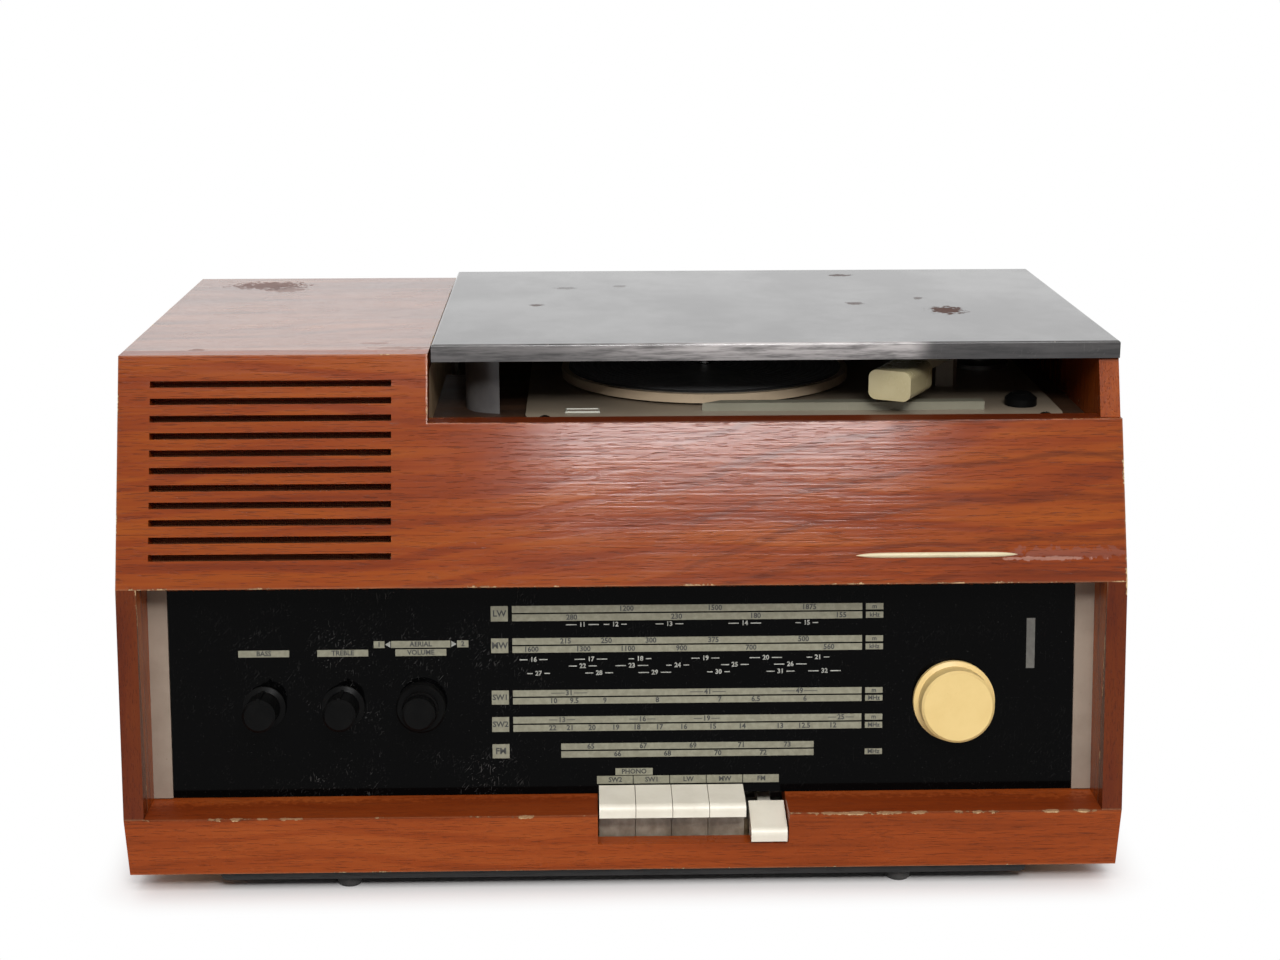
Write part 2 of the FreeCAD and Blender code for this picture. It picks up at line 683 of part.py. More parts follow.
def make_sides():
    front = [
        (rail_back("cab_z"), "cab_z"),
        (rail_back("rail_z"), "rail_z"),
        ("rail_y", "rail_z"),
        ("nose_y", "nose_z"),
        ("nose_in_y", "nose_in_z"),
    ]
    left_top = [(panel_back("under_top"), "under_top"), ("back_y", "under_top"), ("back_y", "cab_z")]
    side_top = "(lid_z - seat_gap)"
    right_top = [
        (panel_back("notch_z"), "notch_z"),
        (panel_face("notch_z") + " + post_set", "notch_z"),
        (panel_face(side_top) + " + post_set", side_top),
        ("back_y", side_top),
        ("back_y", "cab_z"),
    ]
    node("left_side", prism("left_board", front + left_top, "-half_width", "-inner_x"))
    node("right_side", prism("right_board", front + right_top, "inner_x", "half_width"))


def make_front_panel():
    body = new_body("panel_board")
    whole = [
        ("nose_y", "nose_z"),
        ("nose_in_y", "nose_in_z"),
        (panel_back("top_z"), "top_z"),
        (panel_face("top_z"), "top_z"),
    ]
    under_slot = whole[:2] + [(panel_back("notch_z"), "notch_z"), (panel_face("notch_z"), "notch_z")]
    pad(body, outline(sketch_on(body, "YZ_Plane"), whole), "notch_left + half_width")
    pad(body, outline(sketch_on(body, "YZ_Plane"), under_slot), "width")
    sketch = sketch_on(body, "XY_Plane")
    sketch.AttachmentOffset = FreeCAD.Placement(FreeCAD.Vector(), FreeCAD.Rotation(X_AXIS, 1))
    bind(sketch, "AttachmentOffset.Base.y", "nose_y")
    bind(sketch, "AttachmentOffset.Base.z", "nose_z")
    bind(sketch, "AttachmentOffset.Rotation.Angle", "90 - panel_lean")
    oblong(
        sketch,
        ("slot_left + half_width", "slot_right + half_width"),
        ("slot_low - slot_tall / 2", "slot_low + slot_tall / 2"),
    )
    row_of(body, pocket(body, sketch), sketch, "slot_pitch", "slot_count")
    node("front_panel", place(body, "-half_width"))


def make_rail():
    board = [
        ("rail_y", "rail_z"),
        ("foot_y", "cab_z"),
        ("foot_y + rail_wall", "cab_z"),
        ("rail_y + rail_wall", "rail_z"),
    ]
    plain = prism("rail_board", board, "-half_width", "half_width")
    notch_z = "cab_z + notch_floor"
    notch = box("rail_notch", ("keys_low", "keys_high"), ("rail_y - rail_wall", "glass_y"), (notch_z, "nose_z"))
    node("front_rail", cut("rail_cut", plain, notch))
    ledge_low = "(rail_z - ledge_wall)"
    ledge_back = "glass_y + (glass_wall + dial_gap + back_wall) / cos(recess_lean) + base_wall"
    strip = [
        (rail_back(ledge_low), ledge_low),
        (rail_back("rail_z"), "rail_z"),
        (ledge_back, "rail_z"),
        (ledge_back, ledge_low),
    ]
    ledges = [
        prism("ledge_left", strip, "-inner_x", "keys_low"),
        prism("ledge_right", strip, "keys_high", "inner_x"),
    ]
    node("rail_ledge", group("ledges", ledges))


def make_boards():
    floor = [
        (rail_back("cab_z"), "cab_z"),
        (rail_back("floor_z"), "floor_z"),
        ("cover_y", "floor_z"),
        ("cover_y", "cab_z"),
    ]
    plain = prism("floor_board", floor, "-inner_x", "inner_x")
    well = box("key_well", ("keys_low", "keys_high"), ("rail_y", "well_back"), ("0", "rail_z"))
    node("bottom_board", cut("floor_cut", plain, well))
    top = [
        (panel_back("under_top"), "under_top"),
        (panel_back("top_z"), "top_z"),
        ("back_y", "top_z"),
        ("back_y", "under_top"),
    ]
    node("top_board", prism("top_plank", top, "-half_width", "notch_left"))
    wall = [
        ("part_front", "floor_z"),
        ("cover_y", "floor_z"),
        ("cover_y", "under_top"),
        (panel_back("under_top"), "under_top"),
        (panel_back("header_z"), "header_z"),
        ("part_front", "header_z"),
    ]
    node("partition", prism("inner_wall", wall, "part_left", "notch_left"))


def make_inner_rails():
    header_back = "nose_in_y + header_deep"
    header = [
        ("nose_in_y", "nose_in_z"),
        (header_back, "nose_in_z"),
        (header_back, "header_z"),
        (panel_back("header_z"), "header_z"),
    ]
    across = ("notch_left", "inner_x")
    low = "board_low - batten"
    strips = [
        prism("glass_header", header, "-inner_x", "inner_x"),
        box("hinge_rail", across, ("leaf_edge - hinge_rail_deep", "leaf_edge"),
            ("rail_top - hinge_rail_tall", "rail_top")),
        box("batten_left", ("notch_left", "notch_left + batten"), ("part_front", "gate_front - batten"),
            (low, "board_low")),
        box("batten_right", ("inner_x - batten", "inner_x"), ("part_front", "cover_y"), (low, "board_low")),
    ]
    node("inner_rails", group("rails", strips))


def make_motor_board():
    plank = [
        (panel_back("board_low"), "board_low"),
        (panel_back("board_z"), "board_z"),
        ("cover_y", "board_z"),
        ("cover_y", "board_low"),
    ]
    plain = prism("motor_plank", plank, "notch_left", "inner_x")
    window = box("deck_window", ("deck_left + deck_lap", "deck_right - deck_lap"),
                 ("deck_front + deck_lap", "deck_back - deck_lap"), ("0", "deck_z"))
    gate = box("stay_gate", ("part_left", "notch_left + stay_gate"), ("gate_front", "gate_back"),
               ("0", "deck_z"))
    node("motor_board", cut("motor_cut", plain, fuse("motor_holes", window, gate)))


def make_rear_cover():
    body = new_body("cover_sheet")
    plate = sketch_on(body, "XZ_Plane")
    oblong(plate, ("-inner_x + seat_gap", "inner_x - seat_gap"), ("cab_z + seat_gap", "under_top - seat_gap"))
    half_wide = "(socket_wide / 2 - socket_pitch / 2)"
    half_tall = "(socket_tall / 2 - socket_pitch / 2)"
    oblong(plate, ("socket_x - %s" % half_wide, "socket_x + %s" % half_wide),
           ("socket_z - %s" % half_tall, "socket_z + %s" % half_tall))
    pad(body, plate, "cover_wall")
    vents = sketch_on(body, "XZ_Plane")
    for column in (-1, 0, 1):
        middle = "%d * vent_step" % column
        oblong(vents, ("%s - vent_wide / 2" % middle, "%s + vent_wide / 2" % middle),
               ("vent_low", "vent_low + vent_tall"))
    row_of(body, pocket(body, vents, both=True), vents, "vent_pitch", "vent_rows")
    node("rear_cover", place(body, y="cover_y + cover_wall"))
    panel = new_body("socket_strip")
    face = sketch_on(panel, "XZ_Plane")
    oblong(face, ("socket_x - socket_wide / 2", "socket_x + socket_wide / 2"),
           ("socket_z - socket_tall / 2", "socket_z + socket_tall / 2"))
    for column in (-1.5, -0.5, 0.5, 1.5):
        ring(face, "socket_x + %s * socket_pitch" % column, "socket_z", "socket_radius")
    pad(panel, face, "socket_wall")
    node("socket_panel", place(panel, y="cover_y"))


def make_base():
    body = new_body("base_sheet")
    sketch = oblong(sketch_on(body, "XZ_Plane"), ("-base_half", "base_half"), ("0", "base_wall"))
    front = "foot_y + base_set"
    back = "back_y - base_back"
    pad(body, sketch, "(%s) - (%s)" % (back, front))
    round_edges(body, "base_round", lambda start, end: along_y(start, end) and start.z < value("base_wall") / 2)
    node("base_plate", place(body, y=back, z="foot_tall"))
    profile = [
        ("0", "0"),
        ("foot_tip", "0"),
        ("foot_radius", "foot_tall / 4"),
        ("foot_radius", "foot_tall"),
        ("0", "foot_tall"),
    ]
    feet = []
    for side in ("-foot_x", "foot_x"):
        for depth in (front + " + foot_set", back + " - foot_set"):
            feet.append(place(turned("foot", profile), side, depth))
    node("rubber_feet", group("feet", feet))


# Loudspeaker behind the slots

def make_speaker():
    across = ("-inner_x", "part_left")
    upwards = ("baffle_low", "baffle_high")
    cloth = lean_box("cloth_sheet", PANEL, across, upwards, ("baffle_out", "-panel_wall"))
    node("grille_cloth", cloth)
    baffle = new_body("baffle_board")
    face = oblong(sketch_on(baffle, "XY_Plane"), across, upwards)
    ring(face, "speaker_x", "speaker_up", "cone_radius")
    pad(baffle, face, "baffle_wall", back=True)
    node("speaker_baffle", lean(baffle, PANEL, out="baffle_out"))
    basket = [
        ("cone_radius", "0"),
        ("cone_radius + rim_wide", "0"),
        ("cone_radius + rim_wide", "-sheet_wall"),
        ("cone_radius", "-sheet_wall"),
        ("magnet_radius + sheet_wall", "-basket_deep"),
        ("magnet_radius", "-basket_deep"),
        ("magnet_radius", "-basket_deep - magnet_tall"),
        ("0", "-basket_deep - magnet_tall"),
        ("0", "sheet_wall - basket_deep"),
        ("magnet_radius", "sheet_wall - basket_deep"),
        ("cone_radius - 2 * sheet_wall", "-cone_seat"),
        ("cone_radius", "-cone_seat"),
    ]
    place_of = dict(frame=PANEL, x="speaker_x", up="speaker_up", out="speaker_out")
    node("speaker_basket", lean(turned("basket", basket), **place_of))
    cone = [
        ("0", "cone_up - basket_deep"),
        ("magnet_radius / 2", "cone_up - basket_deep"),
        ("cone_radius - surround", "-cone_seat"),
        ("cone_radius", "-cone_seat"),
        ("cone_radius", "-cone_seat / 3"),
        ("cone_radius - surround", "-cone_seat / 3"),
        ("magnet_radius / 2", "cone_up + cone_skin - basket_deep"),
        ("0", "cone_up + cone_skin - basket_deep"),
    ]
    node("speaker_cone", lean(turned("cone", cone), **place_of))


# Dial and controls

def make_dial():
    glass_half = "(inner_x - strip_wide)"
    low = "glass_wall * tan(recess_lean)"
    glass = new_body("glass_sheet")
    face = oblong(sketch_on(glass, "XY_Plane"), ("-" + glass_half, glass_half), (low, "glass_top"))
    back = new_body("back_sheet")
    rear = oblong(sketch_on(back, "XY_Plane"), ("seat_gap - inner_x", "inner_x - seat_gap"),
                  ("back_low", "back_top"))
    holes = [
        ("bass_x", "shaft_radius + knob_gap"),
        ("treble_x", "shaft_radius + knob_gap"),
        ("volume_x", "sleeve_radius + knob_gap"),
        ("tuning_x", "shaft_radius + 2 * knob_gap"),
    ]
    for x, radius in holes:
        ring(face, x, "control_up", radius)
        ring(rear, x, "control_up", radius)
    pad(glass, face, "glass_wall", back=True)
    pad(back, rear, "back_wall", back=True)
    node("dial_glass", lean(glass, DIAL))
    strips = []
    for name, x in (("strip_left", "-inner_x"), ("strip_right", glass_half + " + seat_gap")):
        across = (x, x + " + strip_wide - seat_gap")
        strips.append(lean_box(name, DIAL, across, (low, "glass_top"), ("-glass_wall", "strip_proud")))
    node("dial_side_strips", group("strips", strips))
    lean(back, DIAL, out="back_out")
    rail_end = "(pointer_travel + 2 * slider_half)"
    rail_left = "pointer_x - " + rail_end
    rail_right = "pointer_x + " + rail_end
    rail = rod_x("pointer_rod", "rod_radius", (rail_left, rail_right), *lean_place(DIAL, "rod_up", "-rod_out"))
    pieces = [back, rail]
    for name, x in (("post_left", rail_left), ("post_right", rail_right)):
        across = ("%s - slider_half / 2" % x, "%s + slider_half / 2" % x)
        upwards = ("rod_up - 2 * rod_radius", "rod_up + 2 * rod_radius")
        pieces.append(lean_box(name, DIAL, across, upwards, ("back_out", "rod_radius - rod_out")))
    node("dial_backplate", fuse("back_and_rail", *pieces))


def make_pointer():
    front = "(rod_radius + 2 * run_gap + sheet_wall - rod_out)"
    needle = lean_box("needle", DIAL, ("pointer_x - pointer_wide / 2", "pointer_x + pointer_wide / 2"),
                      ("pointer_low", "rod_up"), (front + " - pointer_wide", front))
    block = lean_box("slider", DIAL, ("pointer_x - slider_half", "pointer_x + slider_half"),
                     ("rod_up - slider_thick", "rod_up + slider_thick"),
                     ("-rod_out - slider_thick", front))
    bore = rod_x("slider_bore", "rod_radius + run_gap", ("pointer_x - width", "pointer_x + width"),
                 *lean_place(DIAL, "rod_up", "-rod_out"))
    node("dial_pointer", cut("pointer_cut", fuse("pointer_blank", needle, block), bore))


def knob_profile(shaft, gap, radius, flange, flange_tall, length):
    """A knob with its shaft, from the shaft's rear end to the knob's bevelled front."""
    return [
        ("0", "-shaft_back"),
        (shaft, "-shaft_back"),
        (shaft, gap),
        (flange, gap),
        (flange, "%s + %s * flange_share" % (gap, flange_tall)),
        (radius, "%s + %s" % (gap, flange_tall)),
        (radius, "%s - knob_bevel" % length),
        ("%s - knob_bevel" % radius, length),
        ("0", length),
    ]


def make_knobs():
    for name, x in (("bass_knob", "bass_x"), ("treble_knob", "treble_x")):
        profile = knob_profile("shaft_radius", "knob_gap", "knob_radius", "skirt_radius", "skirt_tall", "knob_long")
        body = turned(name + "_turned", profile)
        sketch = sketch_on(body, "XY_Plane")
        bind(sketch, "AttachmentOffset.Base.z", "knob_gap + skirt_tall")
        oblong(sketch, ("-knob_gap", "knob_gap"), ("knob_radius / 2", "knob_radius + knob_gap"))
        pad(body, sketch, "knob_long - knob_gap - skirt_tall")
        node(name, lean(body, DIAL, x, "control_up"))
    ring_front = "(knob_gap + ring_tall)"
    volume = knob_profile("shaft_radius", ring_front + " + seat_gap", "knob_radius", "knob_radius + knob_gap",
                          "skirt_tall", "knob_long")
    node("volume_knob", lean(turned("volume_turned", volume), DIAL, "volume_x", "control_up"))
    sleeve = "shaft_radius + run_gap"
    sleeve_end = "pot_out + seat_gap"
    ring_shape = [
        (sleeve, sleeve_end),
        ("sleeve_radius", sleeve_end),
        ("sleeve_radius", "knob_gap"),
        ("ring_radius", "knob_gap"),
        ("ring_radius", ring_front + " - knob_gap"),
        ("ring_radius - knob_gap", ring_front),
        (sleeve, ring_front),
    ]
    node("antenna_ring", lean(turned("ring_turned", ring_shape), DIAL, "volume_x", "control_up"))
    tuning = knob_profile("shaft_radius + knob_gap", "knob_gap", "tuning_radius", "flange_radius", "flange_tall",
                          "tuning_long")
    node("tuning_knob", lean(turned("tuning_turned", tuning), DIAL, "tuning_x", "control_up"))
    pots = []
    shafts = [
        ("bass_x", "shaft_radius"),
        ("treble_x", "shaft_radius"),
        ("volume_x", "shaft_radius"),
        ("tuning_x", "shaft_radius + knob_gap"),
    ]
    for x, shaft in shafts:
        bore = "%s + run_gap" % shaft
        depth = "pot_out + shaft_back + seat_gap"
        can = [
            (bore, "0"),
            ("pot_radius", "0"),
            ("pot_radius", "-pot_long"),
            ("0", "-pot_long"),
            ("0", "-(%s)" % depth),
            (bore, "-(%s)" % depth),
        ]
        pots.append(lean(turned("pot", can), DIAL, x, "control_up", "pot_out"))
    node("control_pots", group("pots", pots))


# Keys

def make_keys():
    cap = [
        ("-key_rear", "key_top"),
        ("-key_reach", "key_top - key_slope"),
        ("-key_reach", "key_lip"),
        ("-apron_front", "key_lip"),
        ("-apron_front", "-apron_drop"),
        ("apron_wall - apron_front", "-apron_drop"),
        ("apron_wall - apron_front", "0"),
        ("-key_rear", "0"),
    ]
    lever = [
        ("apron_wall - apron_front", "0"),
        ("-2 * lever_half", "-lever_half"),
        ("lever_back", "-lever_half"),
        ("lever_back", "lever_half"),
        ("-key_rear - knob_gap", "lever_half"),
        ("apron_wall - apron_front", "lever_half"),
    ]
    for index in range(KEY_COUNT):
        body = new_body("key_body_%d" % (index + 1))
        pad(body, outline(sketch_on(body, "YZ_Plane"), cap), "key_wide", both=True)
        pad(body, outline(sketch_on(body, "YZ_Plane"), lever), "lever_wide", both=True)
        pocket(body, ring(sketch_on(body, "YZ_Plane"), "0", "0", "key_rod + run_gap"), both=True)
        reach = value("-key_reach")
        middle = value("key_lip + key_top") / 2
        round_edges(body, "key_round", lambda start, end: along_x(start, end) and same(start.y, reach)
                    and start.z > middle)
        last = index == KEY_COUNT - 1
        x = "key_left + key_pitch * %d" % index
        if last:
            turn(body, X_AXIS, "key_swing")
        node("key_%d" % (index + 1), place(body, x + (" + last_gap" if last else ""), "pivot_y", "pivot_z"))
    low = "keys_low - lever_half"
    high = "keys_high + lever_half"
    upright = ("pivot_y - lever_half", "pivot_y + lever_half")
    pieces = [
        box("frame_foot", (low, high), ("pivot_y - 4 * lever_half", "pivot_y + 2 * lever_half"),
            ("floor_z", "floor_z + sheet_wall")),
        box("frame_left", (low, low + " + sheet_wall"), upright, ("floor_z", "pivot_z + lever_half")),
        box("frame_right", (high + " - sheet_wall", high), upright, ("floor_z", "pivot_z + lever_half")),
        rod_x("key_axle", "key_rod", (low, high), "pivot_y", "pivot_z"),
    ]
    node("key_frame", fuse("key_bracket", *pieces))


# Radio chassis

def make_chassis():
    across = ("chassis_left", "chassis_right")
    along = ("chassis_front", "chassis_back")
    outer = box("tray", across, along, ("floor_z", "chassis_z"))
    inner = box("tray_inside", ("chassis_left + sheet_wall", "chassis_right - sheet_wall"),
                ("chassis_front + sheet_wall", "chassis_back - sheet_wall"), ("0", "chassis_z - sheet_wall"))
    post = rod_z("aerial_post_rod", "aerial_post", "aerial_x", "aerial_y", ("chassis_z", "chassis_z + aerial_rise"))
    node("chassis", fuse("chassis_tray", cut("tray_cut", outer, inner), post))
    cans = []
    for index in range(3):
        x = "can_x + can_pitch * %d" % index
        cans.append(box("can", (x, x + " + can_side"), ("can_y", "can_y + can_side"),
                        ("chassis_z", "chassis_z + can_tall")))
    node("coil_cans", group("cans", cans))
    blocks = []
    for name in ("core", "small"):
        x = ("%s_x - %s_wide / 2" % (name, name), "%s_x + %s_wide / 2" % (name, name))
        y = ("%s_y - %s_deep / 2" % (name, name), "%s_y + %s_deep / 2" % (name, name))
        z = ("chassis_z", "chassis_z + %s_tall" % name)
        stack = box(name + "_stack", x, y, z)
        margin = "%s_tall / 6" % name
        coil = box(name + "_coil", (x[0] + " + " + margin, x[1] + " - " + margin),
                   (y[0] + " - 2 * " + margin, y[1] + " + 2 * " + margin),
                   (z[0] + " + " + margin, z[1] + " - " + margin))
        blocks.append(fuse(name + "_block", stack, coil))
    node("transformers", group("blocks", blocks))


def make_bulbs():
    valve = [
        ("0", "0"),
        ("valve_radius", "0"),
        ("valve_radius", "valve_straight"),
        ("valve_tip", "valve_neck"),
        ("0", "valve_tall"),
    ]
    lamp = [
        ("0", "0"),
        ("lamp_radius", "0"),
        ("lamp_radius", "lamp_radius"),
        ("lamp_tip", "lamp_neck"),
        ("0", "lamp_tall"),
    ]
    bulbs = []
    for index in range(5):
        bulb = turned("valve", valve)
        bulbs.append(place(bulb, "valve_x + valve_pitch * %d" % index, "valve_y", "chassis_z"))
    for side in ("-", "+"):
        bulb = turned("lamp", lamp)
        bulbs.append(lean(bulb, DIAL, "pointer_x %s lamp_x" % side, "control_up", "back_out"))
    node("valves_and_lamps", group("bulbs", bulbs))


def make_capacitor():
    depth = "vane_pitch * (vane_count + 1)"
    half = "vane_radius + sheet_wall"
    across = ("vane_x - (%s)" % half, "vane_x + (%s)" % half)
    shaft_z = "chassis_z + vane_shaft"
    top = shaft_z + " + 4 * shaft_radius"
    pieces = [
        box("vane_foot", across, ("vane_y", "vane_y + " + depth), ("chassis_z", "chassis_z + sheet_wall")),
        box("vane_front", across, ("vane_y", "vane_y + sheet_wall"), ("chassis_z", top)),
        box("vane_rear", across, ("vane_y + %s - sheet_wall" % depth, "vane_y + " + depth), ("chassis_z", top)),
    ]
    count = int(value("vane_count"))
    for index in range(count - 1):
        y = "vane_y + vane_pitch * %s" % (index + 1.5)
        pieces.append(box("stator", across, (y + " - vane_wall / 2", y + " + vane_wall / 2"),
                          ("chassis_z", shaft_z + " - shaft_radius - knob_gap")))
    bore = turn(rod("vane_bore", "shaft_radius + run_gap", "depth"), X_AXIS, "90")
    place(bore, "vane_x", "depth / 2", shaft_z)
    node("tuning_capacitor", cut("vane_cut", fuse("vane_frame", *pieces), bore))
    shaft = turn(rod("vane_shaft_rod", "shaft_radius", depth + " + 4 * shaft_radius"), X_AXIS, "90")
    rotor = [place(shaft, "vane_x", "vane_y + " + depth, shaft_z)]
    for index in range(count):
        vane = turn(rod("rotor", "vane_radius", "vane_wall"), X_AXIS, "90")
        vane.Angle = 180
        rotor.append(place(vane, "vane_x", "vane_y + vane_pitch * %d + vane_wall / 2" % (index + 1), shaft_z))
    node("capacitor_rotor", fuse("rotor_vanes", *rotor))


def make_aerial():
    top = "(chassis_z + aerial_rise)"
    wall = "aerial_post / 2"
    cup = [
        ("aerial_post + run_gap", "-3 * aerial_post"),
        ("aerial_post + %s" % wall, "-3 * aerial_post"),
        ("aerial_post + %s" % wall, "aerial_post"),
        ("0", "aerial_post"),
        ("0", "seat_gap"),
        ("aerial_post + run_gap", "seat_gap"),
    ]
    holder = place(turned("aerial_cup", cup), "aerial_x", "aerial_y", top)
    stick = rod_x("aerial_stick", "aerial_radius", ("aerial_x - aerial_long / 2", "aerial_x + aerial_long / 2"),
                  "aerial_y", top + " + aerial_post + aerial_bed")
    node("ferrite_rod", fuse("aerial", holder, stick))


# Record player

def make_deck():
    plate = new_body("deck_sheet")
    face = oblong(sketch_on(plate, "XY_Plane"), ("deck_left", "deck_right"), ("deck_front", "deck_back"))
    ring(face, "disc_x", "disc_y", "spindle_radius + run_gap")
    ring(face, "motor_x", "motor_y", "motor_hole")
    ring(face, "select_x", "select_y", "shaft_radius + run_gap")
    pad(plate, face, "deck_wall", back=True)
    round_edges(plate, "deck_round", along_z)
    place(plate, z="deck_z")
    bush = [
        ("0", "-bush_deep - sheet_wall"),
        ("bush_radius", "-bush_deep - sheet_wall"),
        ("bush_radius", "0"),
        ("bush_flange", "0"),
        ("bush_flange", "bush_lip"),
        ("spindle_radius + run_gap", "bush_lip"),
        ("spindle_radius + run_gap", "-bush_deep"),
        ("0", "-bush_deep"),
    ]
    bearing = place(turned("bearing", bush), "disc_x", "disc_y", "deck_z")
    stud = rod_z("stud", "idler_stud", "idler_x", "idler_y",
                 ("deck_z - deck_wall", "deck_z + disc_web_up - 2 * seat_gap"))
    collar = rod_z("stud_collar", "2 * idler_stud", "idler_x", "idler_y",
                   ("deck_z - deck_wall", "deck_z + idler_up - seat_gap"))
    node("deck_plate", fuse("deck", plate, bearing, stud, collar))
    bar = new_body("bar_block")
    shape = [
        ("bar_left", "bar_front"),
        ("bar_right", "bar_front"),
        ("bar_right", "bar_back"),
        ("bar_left + bar_slant", "bar_back"),
    ]
    pad(bar, outline(sketch_on(bar, "XY_Plane"), shape), "bar_tall")
    place(bar, z="deck_z")
    shield_at = dict(x="notch_left + shield_in", y="deck_front + shield_set", z=("board_z", "board_z + shield_tall"))
    outside = rod_z("shield_outside", "shield_radius", **shield_at)
    bind(outside, "Angle", "shield_sweep")
    turn(outside, Z_AXIS, "180")
    shield = cut("shield", outside, rod_z("shield_inside", "shield_radius - shield_wall", **shield_at))
    node("deck_trim_bar", group("deck_trim", [bar, shield]))


def make_platter():
    at_disc = dict(x="disc_x", y="disc_y", z="deck_z")
    web_top = "disc_web_up + disc_web"
    dish = [
        ("spindle_radius", "bush_lip + seat_gap"),
        ("disc_hub", "bush_lip + seat_gap"),
        ("disc_hub", "disc_web_up"),
        ("disc_inner", "disc_web_up"),
        ("disc_inner", "disc_low"),
        ("disc_radius", "disc_low"),
        ("disc_radius", "disc_low + disc_tall"),
        ("disc_inner", "disc_low + disc_tall"),
        ("disc_inner", web_top),
        ("spindle_radius", web_top),
    ]
    node("platter", place(turned("dish", dish), **at_disc))
    mat_edge = "disc_inner - seat_gap"
    mat_top = web_top + " + mat_wall"
    mat = [
        ("spindle_radius", web_top),
        (mat_edge, web_top),
        (mat_edge, mat_top + " - mat_wall / 2"),
        (mat_edge + " - mat_wall", mat_top),
        ("spindle_radius", mat_top),
    ]
    node("platter_mat", place(turned("mat", mat), **at_disc))
    pin = [
        ("0", "seat_gap - bush_deep"),
        ("spindle_radius", "seat_gap - bush_deep"),
        ("spindle_radius", web_top),
        ("spindle_neck", web_top),
        ("spindle_neck", mat_top + " + seat_gap"),
        ("spindle_tip", mat_top + " + seat_gap"),
        ("spindle_tip", "spindle_up - spindle_nose"),
        ("spindle_tip / 2", "spindle_up"),
        ("0", "spindle_up"),
    ]
    node("spindle", place(turned("pin", pin), **at_disc))
    tyre = [
        ("idler_stud + run_gap", "0"),
        ("idler_radius", "0"),
        ("idler_radius", "idler_wall"),
        ("idler_stud + run_gap", "idler_wall"),
    ]
    node("idler_wheel", place(turned("tyre", tyre), "idler_x", "idler_y", "deck_z + idler_up"))
    below = "(deck_wall + 3 * motor_shaft)"
    pulley = [
        ("0", "-" + below),
        ("motor_shaft", "-" + below),
        ("motor_shaft", "seat_gap"),
        ("pulley_radius", "seat_gap"),
        ("pulley_radius", "disc_web_up - 2 * seat_gap"),
        ("0", "disc_web_up - 2 * seat_gap"),
    ]
    at_motor = dict(x="motor_x", y="motor_y", z="deck_z")
    node("motor_pulley", place(turned("pulley", pulley), **at_motor))
    can = [
        ("motor_shaft + run_gap", "-deck_wall"),
        ("motor_radius", "-deck_wall"),
        ("motor_radius", "-deck_wall - motor_tall + knuckle"),
        ("motor_radius - knuckle", "-deck_wall - motor_tall"),
        ("0", "-deck_wall - motor_tall"),
        ("0", "-%s - seat_gap" % below),
        ("motor_shaft + run_gap", "-%s - seat_gap" % below),
    ]
    node("turntable_motor", place(turned("motor", can), **at_motor))
    selector = [
        ("0", "-2 * deck_wall"),
        ("shaft_radius", "-2 * deck_wall"),
        ("shaft_radius", "seat_gap"),
        ("select_radius", "seat_gap"),
        ("select_radius", "select_skirt"),
        ("select_crown", "select_tall"),
        ("0", "select_tall"),
    ]
    node("speed_selector", place(turned("selector", selector), "select_x", "select_y", "deck_z"))


def at_arm(body, z):
    """Set a piece on the tonearm's pivot, with its own -Y along the arm."""
    return turn(place(body, "arm_x", "arm_y", z), Z_AXIS, "-arm_turn")


